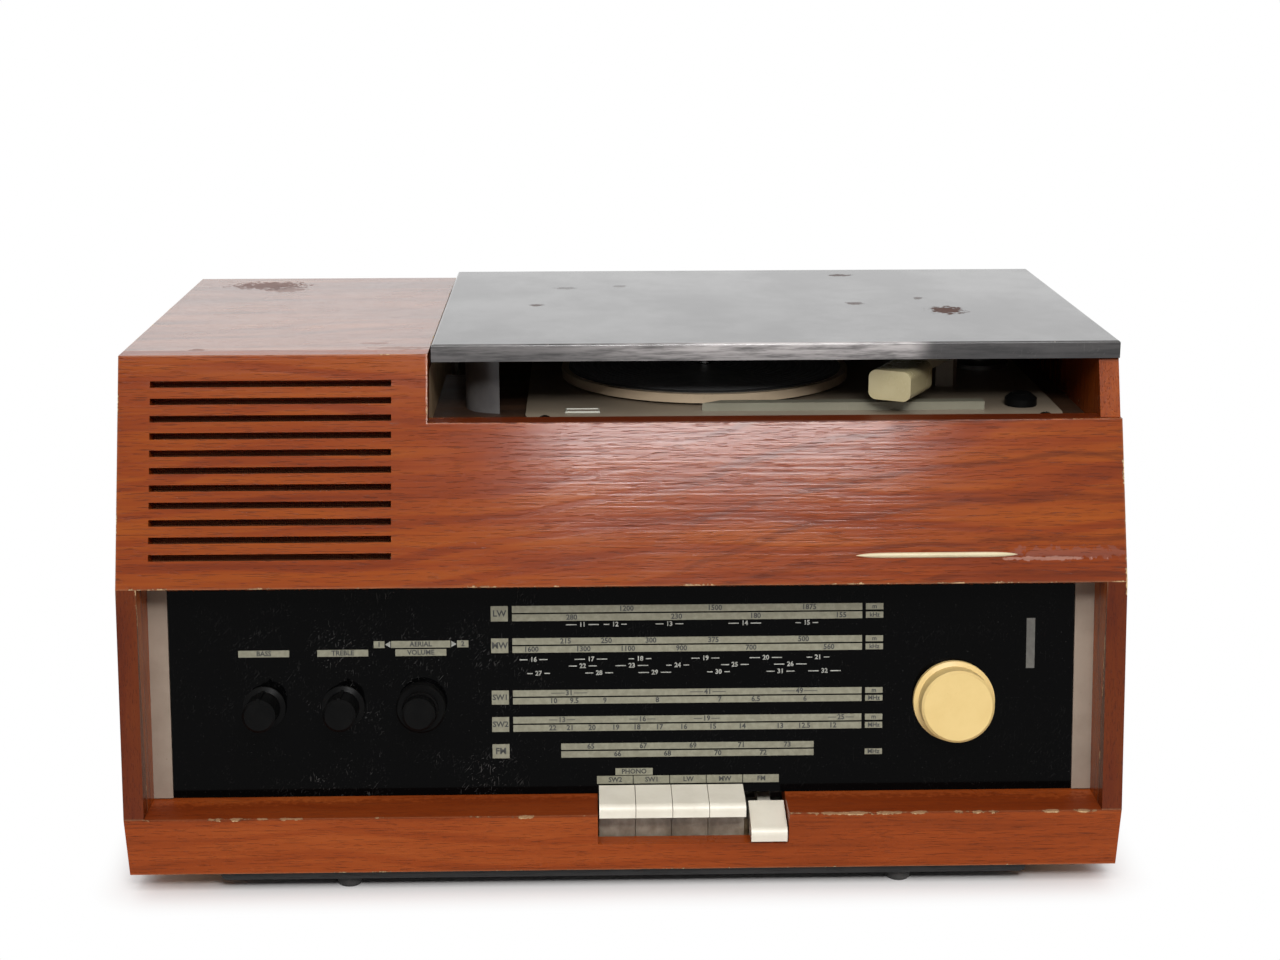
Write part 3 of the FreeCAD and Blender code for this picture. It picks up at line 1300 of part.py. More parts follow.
def make_tonearm():
    pillar = [
        ("0", "0"),
        ("arm_base", "0"),
        ("arm_base", "arm_pin"),
        ("arm_pillar", "arm_foot"),
        ("arm_pillar", "arm_rise"),
        ("arm_pin", "arm_rise"),
        ("arm_pin", "arm_rise + house_floor - 4 * seat_gap"),
        ("0", "arm_rise + house_floor - 4 * seat_gap"),
    ]
    node("arm_base", place(turned("pillar", pillar), "arm_x", "arm_y", "deck_z"))
    bore_top = "(house_floor - 2 * seat_gap)"
    shell = [
        ("arm_pin + run_gap", "0"),
        ("house_radius", "0"),
        ("house_radius", "house_tall - 2 * seat_gap"),
        ("house_radius - 2 * seat_gap", "house_tall"),
        ("0", "house_tall"),
        ("0", bore_top),
        ("arm_pin + run_gap", bore_top),
    ]
    house = turned("carriage", shell)
    gate = oblong(sketch_on(house, "XZ_Plane"), ("-house_slot", "house_slot"), ("house_floor", "2 * house_tall"))
    pocket(house, gate, both=True)
    axle = ring(sketch_on(house, "YZ_Plane"), "0", "axle_up", "axle_radius")
    pad(house, axle, "axle_long", both=True)
    node("arm_carriage", at_arm(house, "house_z"))
    arm = new_body("arm_tube")
    plan = sketch_on(arm, "XY_Plane")
    bind(plan, "AttachmentOffset.Base.z", "axle_up - arm_half")
    outline(plan, [
        ("-arm_wide / 2", "arm_tail"),
        ("-arm_thin / 2", "-arm_long"),
        ("arm_thin / 2", "-arm_long"),
        ("arm_wide / 2", "arm_tail"),
    ])
    pad(arm, plan, "2 * arm_half")
    pocket(arm, ring(sketch_on(arm, "YZ_Plane"), "0", "axle_up", "axle_radius + run_gap"), both=True)
    node("tonearm", at_arm(arm, "house_z"))
    head = new_body("head_shell")
    face = sketch_on(head, "XZ_Plane")
    bind(face, "AttachmentOffset.Base.z", "arm_long")
    oblong(face, ("-head_wide / 2", "head_wide / 2"), ("head_low", "head_low + head_tall"))
    pad(head, face, "head_long")
    round_edges(head, "head_round", along_y)
    tip = sketch_on(head, "XY_Plane")
    bind(tip, "AttachmentOffset.Base.z", "head_low - needle_long")
    ring(tip, "0", "needle_in - arm_long - head_long", "needle_radius")
    pad(head, tip, "needle_long + head_round")
    node("pickup_head", at_arm(head, "house_z"))
    rest = new_body("rest_clip")
    top = "(arm_rise + axle_up - arm_half)"
    inside = "(arm_wide / 2 + 2 * seat_gap)"
    side = sketch_on(rest, "XZ_Plane")
    bind(side, "AttachmentOffset.Base.z", "rest_at - rest_wide / 2")
    outline(side, [
        ("-arm_thin / 2", "0"),
        (inside + " + sheet_wall", "0"),
        (inside + " + sheet_wall", top + " + rest_lip"),
        (inside, top + " + rest_lip"),
        (inside, top),
        ("-arm_thin / 2", top),
    ])
    pad(rest, side, "rest_wide")
    node("arm_rest", at_arm(rest, "deck_z"))


# Lid, hinges and stay

def make_lid():
    body = new_body("lid_board")
    plan = oblong(sketch_on(body, "XY_Plane"), ("lid_left", "half_width"), ("lid_front", "leaf_edge"))
    pad(body, plan, "lid_wall")
    round_edges(body, "lid_round", lambda start, end: same(start.z, end.z) and start.z > value("lid_wall") / 2)
    node("lid", place(body, z="lid_z"))
    fixed = []
    moving = []
    under = ("hinge_z - seat_gap / 2 - leaf_wall", "hinge_z - seat_gap / 2")
    over = ("hinge_z + seat_gap / 2", "hinge_z + seat_gap / 2 + leaf_wall")
    plate = ("hinge_y - leaf_deep", "leaf_edge")
    tongue = ("leaf_edge", "hinge_y")
    for middle in ("lid_left + hinge_in", "(lid_left + half_width) / 2", "half_width - hinge_in"):
        left = "(%s - leaf_wide / 2)" % middle
        right = "(%s + leaf_wide / 2)" % middle
        inner_left = "(%s - leaf_middle / 2)" % middle
        inner_right = "(%s + leaf_middle / 2)" % middle
        pieces = [
            box("leaf", (left, right), plate, under),
            rod_x("pin", "hinge_pin", (left, right), "hinge_y", "hinge_z"),
        ]
        for x in ((left, inner_left + " - seat_gap"), (inner_right + " + seat_gap", right)):
            pieces.append(box("tongue", x, tongue, under))
            pieces.append(rod_x("knuckle_outer", "knuckle", x, "hinge_y", "hinge_z"))
        fixed.append(fuse("fixed_leaf", *pieces))
        x = (inner_left, inner_right)
        leaf = fuse("moving_blank", box("leaf", (left, right), plate, over), box("tongue", x, tongue, over),
                    rod_x("knuckle_inner", "knuckle", x, "hinge_y", "hinge_z"))
        bore = rod_x("knuckle_bore", "hinge_pin + run_gap", x, "hinge_y", "hinge_z")
        moving.append(cut("moving_leaf", leaf, bore))
    node("hinge_leaves", group("fixed_leaves", fixed))
    face = "(stay_x + stay_wall + seat_gap)"
    ear = ("stay_y - stay_wide / 2", "stay_y + stay_wide / 2")
    bracket = fuse(
        "stay_bracket",
        box("ear", (face, face + " + sheet_wall"), ear, ("stay_z - stay_wide / 2", "lid_z")),
        box("ear_foot", (face, face + " + stay_wide"), ear, ("lid_z - sheet_wall", "lid_z")),
        rod_x("stay_pin_rod", "stay_pin", ("stay_x - seat_gap", face), "stay_y", "stay_z"),
    )
    node("lid_fittings", group("fittings", moving + [bracket]))


def make_stay():
    arm = new_body("stay_strap")
    half = "stay_wide / 2"
    end = "-(stay_far + stay_slack + stay_wide)"
    strap = oblong(sketch_on(arm, "YZ_Plane"), ("-" + half, half), (end, half))
    ring(strap, "0", "0", "stay_pin + run_gap")
    slot = "(stay_stud + seat_gap)"
    oblong(strap, ("-" + slot, slot), ("-(stay_far + stay_slack)", "-(stay_near - stay_slack)"))
    pad(arm, strap, "stay_wall")
    round_edges(arm, "stay_round", lambda start, end_point: along_x(start, end_point)
                and same(abs(start.y), value("stay_wide") / 2))
    node("lid_stay", turn(place(arm, "stay_x", "stay_y", "stay_z"), X_AXIS, "stay_lean"))
    head_at = "stay_set + stay_wall + seat_gap"
    shape = [
        ("0", "0"),
        ("2 * stay_stud", "0"),
        ("2 * stay_stud", "stay_set - seat_gap"),
        ("stay_stud", "stay_set - seat_gap"),
        ("stay_stud", head_at),
        ("2 * stay_stud", head_at),
        ("stay_cap", head_at + " + sheet_wall"),
        ("0", head_at + " + sheet_wall"),
    ]
    stud = turn(turned("stay_screw", shape), Y_AXIS, "90")
    node("stay_stud", place(stud, "notch_left", "stud_y", "stud_z"))


make_sides()
make_front_panel()
make_rail()
make_boards()
make_inner_rails()
make_motor_board()
make_rear_cover()
make_base()
make_speaker()
make_dial()
make_pointer()
make_knobs()
make_keys()
make_chassis()
make_bulbs()
make_capacitor()
make_aerial()
make_deck()
make_platter()
make_tonearm()
make_lid()
make_stay()
doc.recompute()

# Every object has to be whole before anything is written
for item in doc.Objects:
    if "Invalid" in item.State or "Error" in item.State:
        raise RuntimeError("%s did not build: %s" % (item.Name, item.State))
for item in nodes:
    if item.Shape.isNull() or not item.Shape.isValid():
        raise RuntimeError("%s has no valid shape" % item.Label)
os.makedirs("parts", exist_ok=True)
for item in nodes:
    item.Shape.exportStep("parts/%s.step" % item.Label)
print(len(nodes), "nodes written")
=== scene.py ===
"""Looks of a table radiogram: finishes of every piece, dial print, small fittings, floor, light and camera.

Metres, in the frame's own axes: +X right, front towards -Y, +Z up.
"""
import bpy
import json
import numpy as np
from math import cos, pi, radians, sin
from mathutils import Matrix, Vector


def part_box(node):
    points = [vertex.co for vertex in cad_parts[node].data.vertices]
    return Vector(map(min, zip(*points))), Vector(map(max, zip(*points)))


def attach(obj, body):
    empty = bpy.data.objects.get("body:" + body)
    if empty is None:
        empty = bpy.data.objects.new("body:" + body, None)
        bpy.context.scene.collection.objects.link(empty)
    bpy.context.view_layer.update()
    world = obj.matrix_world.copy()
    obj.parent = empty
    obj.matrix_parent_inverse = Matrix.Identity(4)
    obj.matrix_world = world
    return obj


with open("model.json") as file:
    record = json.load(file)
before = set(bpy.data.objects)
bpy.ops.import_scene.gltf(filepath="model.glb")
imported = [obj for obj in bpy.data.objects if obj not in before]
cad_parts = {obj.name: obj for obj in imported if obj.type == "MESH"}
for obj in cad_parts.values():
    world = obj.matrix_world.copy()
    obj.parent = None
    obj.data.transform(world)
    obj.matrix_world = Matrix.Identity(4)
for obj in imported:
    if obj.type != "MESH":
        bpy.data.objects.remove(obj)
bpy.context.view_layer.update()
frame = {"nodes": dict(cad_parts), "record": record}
nodes = frame["nodes"]
MM = 0.001

# Leaning faces that carry print and trim: the dial glass and the upper front panel
DIAL_LEAN = radians(7)
DIAL_FOOT = (-144.5 * MM, 53 * MM)
PANEL_LEAN = radians(19.7)
PANEL_FOOT = (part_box("front_panel")[0].y, 191.5 * MM)
RAIL_LEAN = radians(11.7)


def on_face(foot, lean, x, up, out):
    """Point at x, up along the slope and out from a face that leans back by lean over its foot."""
    y = foot[0] + up * sin(lean) - out * cos(lean)
    z = foot[1] + up * cos(lean) + out * sin(lean)
    return np.stack(np.broadcast_arrays(x, y, z), axis=-1)


def on_dial(x, up, out):
    """Point on the dial glass."""
    return on_face(DIAL_FOOT, DIAL_LEAN, x, up, out)


def on_panel(x, up, out):
    """Point on the upper front panel."""
    return on_face(PANEL_FOOT, PANEL_LEAN, x, up, out)


# Mesh helpers

def make_object(name, points, faces, material, smooth=False):
    """A mesh object in the scene, from arrays of points and faces."""
    mesh = bpy.data.meshes.new(name)
    mesh.from_pydata(np.asarray(points).reshape(-1, 3).tolist(), [], [list(face) for face in faces])
    mesh.polygons.foreach_set("use_smooth", [smooth] * len(mesh.polygons))
    mesh.materials.append(material)
    mesh.update()
    made = bpy.data.objects.new(name, mesh)
    bpy.context.scene.collection.objects.link(made)
    return made


def put_piece(name, points, faces, material, smooth=False):
    """A mesh piece that rides on the cabinet."""
    piece = make_object(name, points, faces, material, smooth)
    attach(piece, "cabinet")


def grid_faces(rows, columns, closed=False):
    """Quads of a grid of rows by columns of points, joined round in columns where closed."""
    row, column = np.mgrid[0:rows - 1, 0:columns if closed else columns - 1]
    right = (column + 1) % columns
    quads = np.stack([row * columns + column, row * columns + right,
                      (row + 1) * columns + right, (row + 1) * columns + column], axis=-1)
    return quads.reshape(-1, 4)


def print_plates(name, areas, lift, material):
    """Flat oblongs printed on the dial, each given as left, right, low and high in millimetres."""
    left, right, low, high = np.array(areas, float).T * MM
    across = np.stack([left, right, right, left], axis=-1).reshape(-1)
    up = np.stack([low, low, high, high], axis=-1).reshape(-1)
    faces = np.arange(len(across)).reshape(-1, 4)
    put_piece(name, on_dial(across, up, lift), faces, material)


BOLD = 0.028


def word_shape(text, size):
    """Points and faces of one word, flat and centred on its own origin."""
    curve = bpy.data.curves.new("word", "FONT")
    curve.body = text
    curve.size = size
    curve.align_x = "CENTER"
    curve.align_y = "CENTER"
    curve.resolution_u = 2
    curve.offset = size * BOLD
    holder = bpy.data.objects.new("word", curve)
    mesh = bpy.data.meshes.new_from_object(holder)
    points = np.empty(len(mesh.vertices) * 3)
    mesh.vertices.foreach_get("co", points)
    faces = [np.array(polygon.vertices) for polygon in mesh.polygons]
    bpy.data.objects.remove(holder)
    bpy.data.curves.remove(curve)
    bpy.data.meshes.remove(mesh)
    return points.reshape(-1, 3), faces


def print_words(name, words, lift, material):
    """Words printed on the dial, each given as text, x, height up the glass and size in millimetres."""
    points, faces, count = [], [], 0
    for text, x, up, size in words:
        shape, sides = word_shape(text, size * MM)
        points.append(on_dial(shape[:, 0] + x * MM, shape[:, 1] + up * MM, lift))
        faces.extend(side + count for side in sides)
        count += len(shape)
    put_piece(name, np.concatenate(points), faces, material)


# Node helpers

def node(tree, kind, inputs=None, **settings):
    """A shader node; each input is a value or a socket to link from."""
    made = tree.nodes.new("ShaderNode" + kind)
    for name, setting in settings.items():
        setattr(made, name, setting)
    for socket, source in (inputs or {}).items():
        if isinstance(source, bpy.types.NodeSocket):
            tree.links.new(source, made.inputs[socket])
        elif made.inputs[socket].type == "RGBA":
            made.inputs[socket].default_value = (*source, 1.0)
        else:
            made.inputs[socket].default_value = source
    return made


def sums(tree, operation, first, second=0.0, third=0.0, clamp=False):
    """Output of a Math node."""
    inputs = {0: first, 1: second, 2: third}
    return node(tree, "Math", inputs, operation=operation, use_clamp=clamp).outputs[0]


def times(tree, first, second):
    """Product of two values."""
    return sums(tree, "MULTIPLY", first, second)


def times_plus(tree, first, second, third):
    """Product of two values, plus a third."""
    return sums(tree, "MULTIPLY_ADD", first, second, third)


def larger(tree, first, second):
    """The larger of two values."""
    return sums(tree, "MAXIMUM", first, second)


def axes(tree, vector):
    """X, Y and Z of a vector, by name."""
    return node(tree, "SeparateXYZ", {0: vector}).outputs


def vectors(tree, operation, first, second=(0, 0, 0), output=0):
    """Output of a Vector Math node."""
    return node(tree, "VectorMath", {0: first, 1: second}, operation=operation).outputs[output]


def scaled(tree, vector, amount):
    """A vector times a value that changes over the surface."""
    return node(tree, "VectorMath", {0: vector, "Scale": amount}, operation="SCALE").outputs[0]


def mapped(tree, vector, place=(0, 0, 0), turn=(0, 0, 0), scale=(1, 1, 1)):
    """A vector moved, turned and scaled."""
    inputs = {"Vector": vector, "Location": place, "Rotation": turn, "Scale": scale}
    return node(tree, "Mapping", inputs).outputs[0]


def noise(tree, vector, scale, detail=4.0, roughness=0.55, distortion=0.0):
    """Value of a Noise texture, about 0.3 to 0.7."""
    inputs = {"Vector": vector, "Scale": scale, "Detail": detail, "Roughness": roughness,
              "Distortion": distortion}
    return node(tree, "TexNoise", inputs).outputs["Fac"]


def streaked(tree, vector, scale, detail, roughness):
    """Value of a Noise texture with a scale for each axis."""
    return noise(tree, mapped(tree, vector, scale=scale), 1, detail, roughness)


def between(tree, value, low, high, start=0.0, end=1.0):
    """A value smoothly remapped from low..high to start..end."""
    inputs = {"Value": value, "From Min": low, "From Max": high, "To Min": start, "To Max": end}
    return node(tree, "MapRange", inputs, interpolation_type="SMOOTHSTEP").outputs[0]


def blend(tree, mask, under, over):
    """Colour over laid on colour under by a mask."""
    mixed = node(tree, "Mix", {0: mask, 6: under, 7: over}, data_type="RGBA")
    return mixed.outputs[2]


def shades(tree, value, stops):
    """Colour looked up from stops of place and colour."""
    made = node(tree, "ValToRGB", {"Fac": value})
    elements = made.color_ramp.elements
    while len(elements) < len(stops):
        elements.new(0.5)
    for element, (place, colour) in zip(elements, stops):
        element.position = place
        element.color = (*colour, 1.0)
    return made.outputs["Color"]


def darker(colour, share):
    """A share of a colour."""
    return tuple(part * share for part in colour)


def link(tree, made, **sources):
    """Links sockets into a node's inputs."""
    for socket, source in sources.items():
        tree.links.new(source, made.inputs[socket.replace("_", " ")])


def start_group(name, directions, values, results):
    """A node group with vector and value inputs and value outputs: tree, input sockets and output node."""
    tree = bpy.data.node_groups.new(name, "ShaderNodeTree")
    for socket in directions:
        tree.interface.new_socket(socket, in_out="INPUT", socket_type="NodeSocketVector")
    for socket in values:
        tree.interface.new_socket(socket, in_out="INPUT", socket_type="NodeSocketFloat")
    for socket in results:
        tree.interface.new_socket(socket, in_out="OUTPUT", socket_type="NodeSocketFloat")
    return tree, tree.nodes.new("NodeGroupInput").outputs, tree.nodes.new("NodeGroupOutput")


def use_group(tree, group, output, inputs):
    """Output of a shared group placed in a material."""
    return node(tree, "Group", inputs, node_tree=group).outputs[output]


# Shared effects

SWEEP_START = 30 * MM
SWEEP_LENGTH = 120 * MM
SWEEP_RISE = 85 * MM
SWEEP_PITCH = 24 * MM


def make_grain():
    """Wood figure: X runs along the grain and Y across it.

    Tone adds fine streaks, broad streaks and patches, less thin growth lines, which are crests of a sine
    whose phase climbs across the grain and wanders along it; Pores are short dark dashes.
    """
    tree, given, out = start_group("wood_grain", ["Vector"], [], ["Tone", "Pores"])
    laid = given["Vector"]
    fine = between(tree, streaked(tree, laid, (10, 520, 520), 4, 0.6), 0.3, 0.7)
    broad = between(tree, streaked(tree, laid, (4.5, 75, 75), 3, 0.55), 0.3, 0.7)
    patches = streaked(tree, laid, (4.5, 12, 12), 2, 0.5)
    wander = streaked(tree, laid, (3.0, 7.5, 7.5), 2, 0.45)
    parts = axes(tree, laid)
    climb = times_plus(tree, parts["Y"], 300, times(tree, parts["X"], -26))
    phase = times_plus(tree, wander, 34, climb)
    lines = between(tree, sums(tree, "SINE", phase), 0.35, 1.0)
    lines = times(tree, lines, between(tree, patches, 0.4, 0.62))
    tone = times_plus(tree, fine, 0.2, times(tree, broad, 0.28))
    tone = times_plus(tree, between(tree, patches, 0.3, 0.7), 0.3, sums(tree, "ADD", tone, 0.12))
    tone = times_plus(tree, lines, -0.26, tone)
    dashes = streaked(tree, laid, (75, 1900, 1900), 2, 0.5)
    link(tree, out, Tone=tone, Pores=between(tree, dashes, 0.6, 0.68))
    return tree


def make_edge_chips():
    """Ragged chips along a straight edge: the distance to the edge's line, broken up by noise, and a thin
    lighter line along the edge, partly wear and partly painted highlight.
    """
    tree, given, out = start_group("edge_chips", ["Vector", "Start", "Span"], ["Reach", "Amount"], ["Mask"])
    offset = vectors(tree, "SUBTRACT", given["Vector"], given["Start"])
    length = vectors(tree, "DOT_PRODUCT", given["Span"], given["Span"], 1)
    share = sums(tree, "DIVIDE", vectors(tree, "DOT_PRODUCT", offset, given["Span"], 1), length, clamp=True)
    nearest = scaled(tree, given["Span"], share)
    gap = vectors(tree, "LENGTH", vectors(tree, "SUBTRACT", offset, nearest), output=1)
    closeness = sums(tree, "SUBTRACT", 1, sums(tree, "DIVIDE", gap, given["Reach"]), clamp=True)
    ragged = noise(tree, given["Vector"], 640, 5, 0.72)
    stretches = between(tree, noise(tree, given["Vector"], 46, 3, 0.65), 0.42, 0.66)
    strength = times(tree, times(tree, closeness, given["Amount"]), stretches)
    chips = between(tree, sums(tree, "ADD", strength, ragged), 0.84, 0.93)
    # Thin lighter line along the whole edge: partly rubbed wear, partly painted highlight where light
    # catches the edge.
    wear_and_sheen = times(tree, sums(tree, "POWER", closeness, 5), times(tree, ragged, 0.45))
    link(tree, out, Mask=larger(tree, chips, wear_and_sheen))
    return tree


def make_scratches():
    """Fine hairline scratches in three directions, gathered in patches."""
    tree, given, out = start_group("scratches", ["Vector"], ["Amount"], ["Mask"])
    lines = 0.0
    for turn in (0.4, 1.5, 2.5):
        spun = mapped(tree, mapped(tree, given["Vector"], turn=(turn, turn, turn)), scale=(70, 1500, 1500))
        line = between(tree, noise(tree, spun, 1, 1, 0.5, 0.4), 0.69, 0.72)
        lines = larger(tree, lines, line)
    patches = between(tree, noise(tree, given["Vector"], 38, 4, 0.65), 0.46, 0.7)
    link(tree, out, Mask=times(tree, times(tree, lines, patches), given["Amount"]))
    return tree


def make_spot():
    """One ragged oval mark: centred noise added to the distance from a centre in units of its size."""
    tree, given, out = start_group("ragged_spot", ["Vector", "Centre", "Size"], ["Ragged"], ["Mask"])
    offset = vectors(tree, "SUBTRACT", given["Vector"], given["Centre"])
    away = vectors(tree, "LENGTH", vectors(tree, "DIVIDE", offset, given["Size"]), output=1)
    rough = sums(tree, "SUBTRACT", noise(tree, given["Vector"], 210, 5, 0.68), 0.5)
    ragged = times_plus(tree, rough, given["Ragged"], away)
    link(tree, out, Mask=between(tree, ragged, 0.8, 1.02, 1.0, 0.0))
    return tree


def make_swept_figure():
    """Dark growth lines that climb along the grain and level off, with X along it and Y across it.

    A line is a crest of a sine whose phase is Y less a curve that rises as 1 - exp(-X), plus some noise.
    """
    tree, given, out = start_group("swept_figure", ["Vector"], [], ["Mask"])
    parts = axes(tree, given["Vector"])
    along = larger(tree, sums(tree, "ADD", parts["X"], SWEEP_START), 0.0)
    fall = sums(tree, "EXPONENT", sums(tree, "DIVIDE", along, -SWEEP_LENGTH))
    climb = times_plus(tree, fall, SWEEP_RISE, parts["Y"])
    wander = streaked(tree, given["Vector"], (9, 26, 26), 3, 0.5)
    phase = times_plus(tree, wander, 6.5, times(tree, climb, 2 * pi / SWEEP_PITCH))
    lines = between(tree, sums(tree, "SINE", phase), 0.72, 1.0)
    minor = between(tree, sums(tree, "SINE", times(tree, phase, 3.7)), 0.5, 1.0, 0.0, 0.35)
    streaks = streaked(tree, given["Vector"], (40, 420, 420), 3, 0.6)
    broken = between(tree, streaks, 0.35, 0.6, 0.35, 1.0)
    shown = between(tree, along, 0.02, 0.11)
    both = times(tree, larger(tree, lines, minor), broken)
    link(tree, out, Mask=times(tree, both, shown))
    return tree


def make_weave():
    """Plain weave: two crossed sets of threads, each a sine along its own axis."""
    tree, given, out = start_group("weave", ["Vector"], ["Pitch"], ["Height"])
    threads = scaled(tree, given["Vector"], sums(tree, "DIVIDE", pi, given["Pitch"]))
    parts = axes(tree, threads)
    warp = sums(tree, "ABSOLUTE", sums(tree, "SINE", parts["X"]))
    weft = sums(tree, "ABSOLUTE", sums(tree, "SINE", parts["Z"]))
    link(tree, out, Height=times(tree, warp, weft))
    return tree


GRAIN = make_grain()
EDGE_CHIPS = make_edge_chips()
SCRATCHES = make_scratches()
SPOT = make_spot()
WEAVE = make_weave()
SWEPT_FIGURE = make_swept_figure()
GRAIN_STOPS = (0.1, 0.45, 0.85)


def wood(tree, laid, tones):
    """Colour, tone and pores of bare wood, from its dark, middle and light tones."""
    tone = use_group(tree, GRAIN, "Tone", {"Vector": laid})
    pores = use_group(tree, GRAIN, "Pores", {"Vector": laid})
    return shades(tree, tone, list(zip(GRAIN_STOPS, tones))), tone, pores


def chipped(tree, where, start, end, reach, amount):
    """Mask of chips along the edge from start to end, with a thin lighter line that is partly wear and
    partly painted highlight.
    """
    span = tuple(np.subtract(end, start))
    inputs = {"Vector": where, "Start": start, "Span": span, "Reach": reach, "Amount": amount}
    return use_group(tree, EDGE_CHIPS, "Mask", inputs)


def hairlines(tree, where, amount):
    """Mask of hairline scratches."""
    return use_group(tree, SCRATCHES, "Mask", {"Vector": where, "Amount": amount})


def spot(tree, where, centre, size, ragged):
    """Mask of one oval mark."""
    inputs = {"Vector": where, "Centre": centre, "Size": size, "Ragged": ragged}
    return use_group(tree, SPOT, "Mask", inputs)


def bare_tree(holder):
    """The emptied node tree of a material or world."""
    holder.use_nodes = True
    holder.node_tree.nodes.clear()
    return holder.node_tree


SHADER = "Principled BSDF"


def start_finish(name, **plain):
    """A material with a Principled shader whose plain sockets are set, its tree, and object coordinates."""
    material = bpy.data.materials.new(name)
    tree = bare_tree(material)
    inputs = {socket.replace("_", " "): value for socket, value in plain.items()}
    shader = node(tree, "BsdfPrincipled", inputs)
    node(tree, "OutputMaterial", {"Surface": shader.outputs[0]})
    return material, tree, node(tree, "TexCoord").outputs["Object"]


def finish(material, height, depth, **sources):
    """The material with its changing sockets linked and its normal fed by a height, with depth in metres."""
    tree = material.node_tree
    made = node(tree, "Bump", {"Height": height, "Distance": depth})
    link(tree, tree.nodes[SHADER], Normal=made.outputs[0], **sources)
    return material


# Wood finishes

CHIP_PALE = (0.66, 0.45, 0.24)
# Dark tone of the sill: partly its own, partly painted shade under the lid's overhang.
SILL_TONE_AND_SHADE = (0.07, 0.010, 0.002)
# Darker tone laid on a sloping front face, its share, and how far behind the face it fades.
FRONT_FACE_DARK = (0.07, 0.01, 0.003)
FRONT_FACE_SHARE = 0.75
FRONT_FACE_DEPTH = (0.4 * MM, 1.4 * MM)
EDGE_REACH = 2.2 * MM
RAGGED = 3.2
EVEN = 1.0


def handled_face(tree, where, top, foot):
    """Mask of a sloping front face, given by the (y, z) of its top and foot, that fades just behind it."""
    slope = (foot[0] - top[0]) / (foot[1] - top[1])
    parts = axes(tree, where)
    level = times_plus(tree, parts["Z"], -slope, parts["Y"])
    behind = sums(tree, "SUBTRACT", level, top[0] - slope * top[1])
    return between(tree, behind, *FRONT_FACE_DEPTH, FRONT_FACE_SHARE, 0.0)


def veneer(name, turn, tones, edges, marks, gloss, shine, lacquer, seed=0.0, figure=0.0, darkened_face=None):
    """Lacquered veneer: grain turned to the board, pores, chips along its edges and ragged bare marks.

    An edge is its start, end, reach and amount, and a mark its centre, half sizes, colour, strength and
    raggedness. A given sloping front face is made darker.
    """
    material, tree, where = start_finish(name, Specular_IOR_Level=shine, Coat_Roughness=0.1)
    laid = mapped(tree, where, place=(seed, seed, seed), turn=turn)
    colour, tone, pores = wood(tree, laid, tones)
    colour = blend(tree, times(tree, pores, 0.45), colour, darker(tones[0], 0.35))
    if figure:
        lines = use_group(tree, SWEPT_FIGURE, "Mask", {"Vector": laid})
        colour = blend(tree, times(tree, lines, figure), colour, darker(tones[0], 0.6))
    # A given sloping front face is made darker.
    if darkened_face:
        colour = blend(tree, handled_face(tree, where, *darkened_face), colour, FRONT_FACE_DARK)
    worn = 0.0
    for edge in edges:
        worn = larger(tree, worn, chipped(tree, where, *edge))
    colour = blend(tree, worn, colour, CHIP_PALE)
    bare = worn
    for centre, size, shade, strength, ragged in marks:
        mark = times(tree, spot(tree, where, centre, size, ragged), strength)
        colour = blend(tree, mark, colour, shade)
        bare = larger(tree, bare, mark)
    hazy = noise(tree, where, 30, 4, 0.6)
    rough = times_plus(tree, bare, 0.35, times_plus(tree, hazy, 0.12, gloss - 0.06))
    coat = times_plus(tree, bare, -lacquer, lacquer)
    dents = times_plus(tree, worn, -1.2, times(tree, pores, -0.45))
    return finish(material, times_plus(tree, tone, 0.25, dents), 0.00035,
                  Base_Color=colour, Roughness=rough, Coat_Weight=coat)


FRONT_TONES = ((0.16, 0.022, 0.002), (0.252, 0.04, 0.003), (0.345, 0.074, 0.005))
RAIL_TONES = ((0.19, 0.034, 0.006), (0.30, 0.055, 0.009), (0.37, 0.08, 0.015))
SIDE_TONES = ((0.15, 0.024, 0.004), (0.28, 0.052, 0.006), (0.38, 0.085, 0.010))
TOP_TONES = ((0.07, 0.016, 0.006), (0.23, 0.07, 0.028), (0.38, 0.14, 0.06))
ALONG_X_PANEL = (PANEL_LEAN - pi / 2, 0, 0)
ALONG_X_RAIL = (-RAIL_LEAN - pi / 2, 0, 0)
UPRIGHT = (0, pi / 2, 0)

cabinet_left, cabinet_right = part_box("left_side")[0].x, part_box("right_side")[1].x
NOTCH_LEFT = -116.3 * MM
SILL_Z = 283.8 * MM
SIDE_PROUD = 21 * MM
LEDGE_INSET = 22 * MM
PANEL_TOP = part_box("front_panel")[1].z


def slope_at(height):
    """Distance up the front panel's slope at a height."""
    return (height - PANEL_FOOT[1]) / cos(PANEL_LEAN)


def panel_edge(x_start, height_start, x_end, height_end, reach, amount):
    """A chipped edge on the front panel's face, with its reach in millimetres."""
    start = on_panel(x_start, slope_at(height_start), 0.0)
    end = on_panel(x_end, slope_at(height_end), 0.0)
    return tuple(start), tuple(end), reach * MM, amount


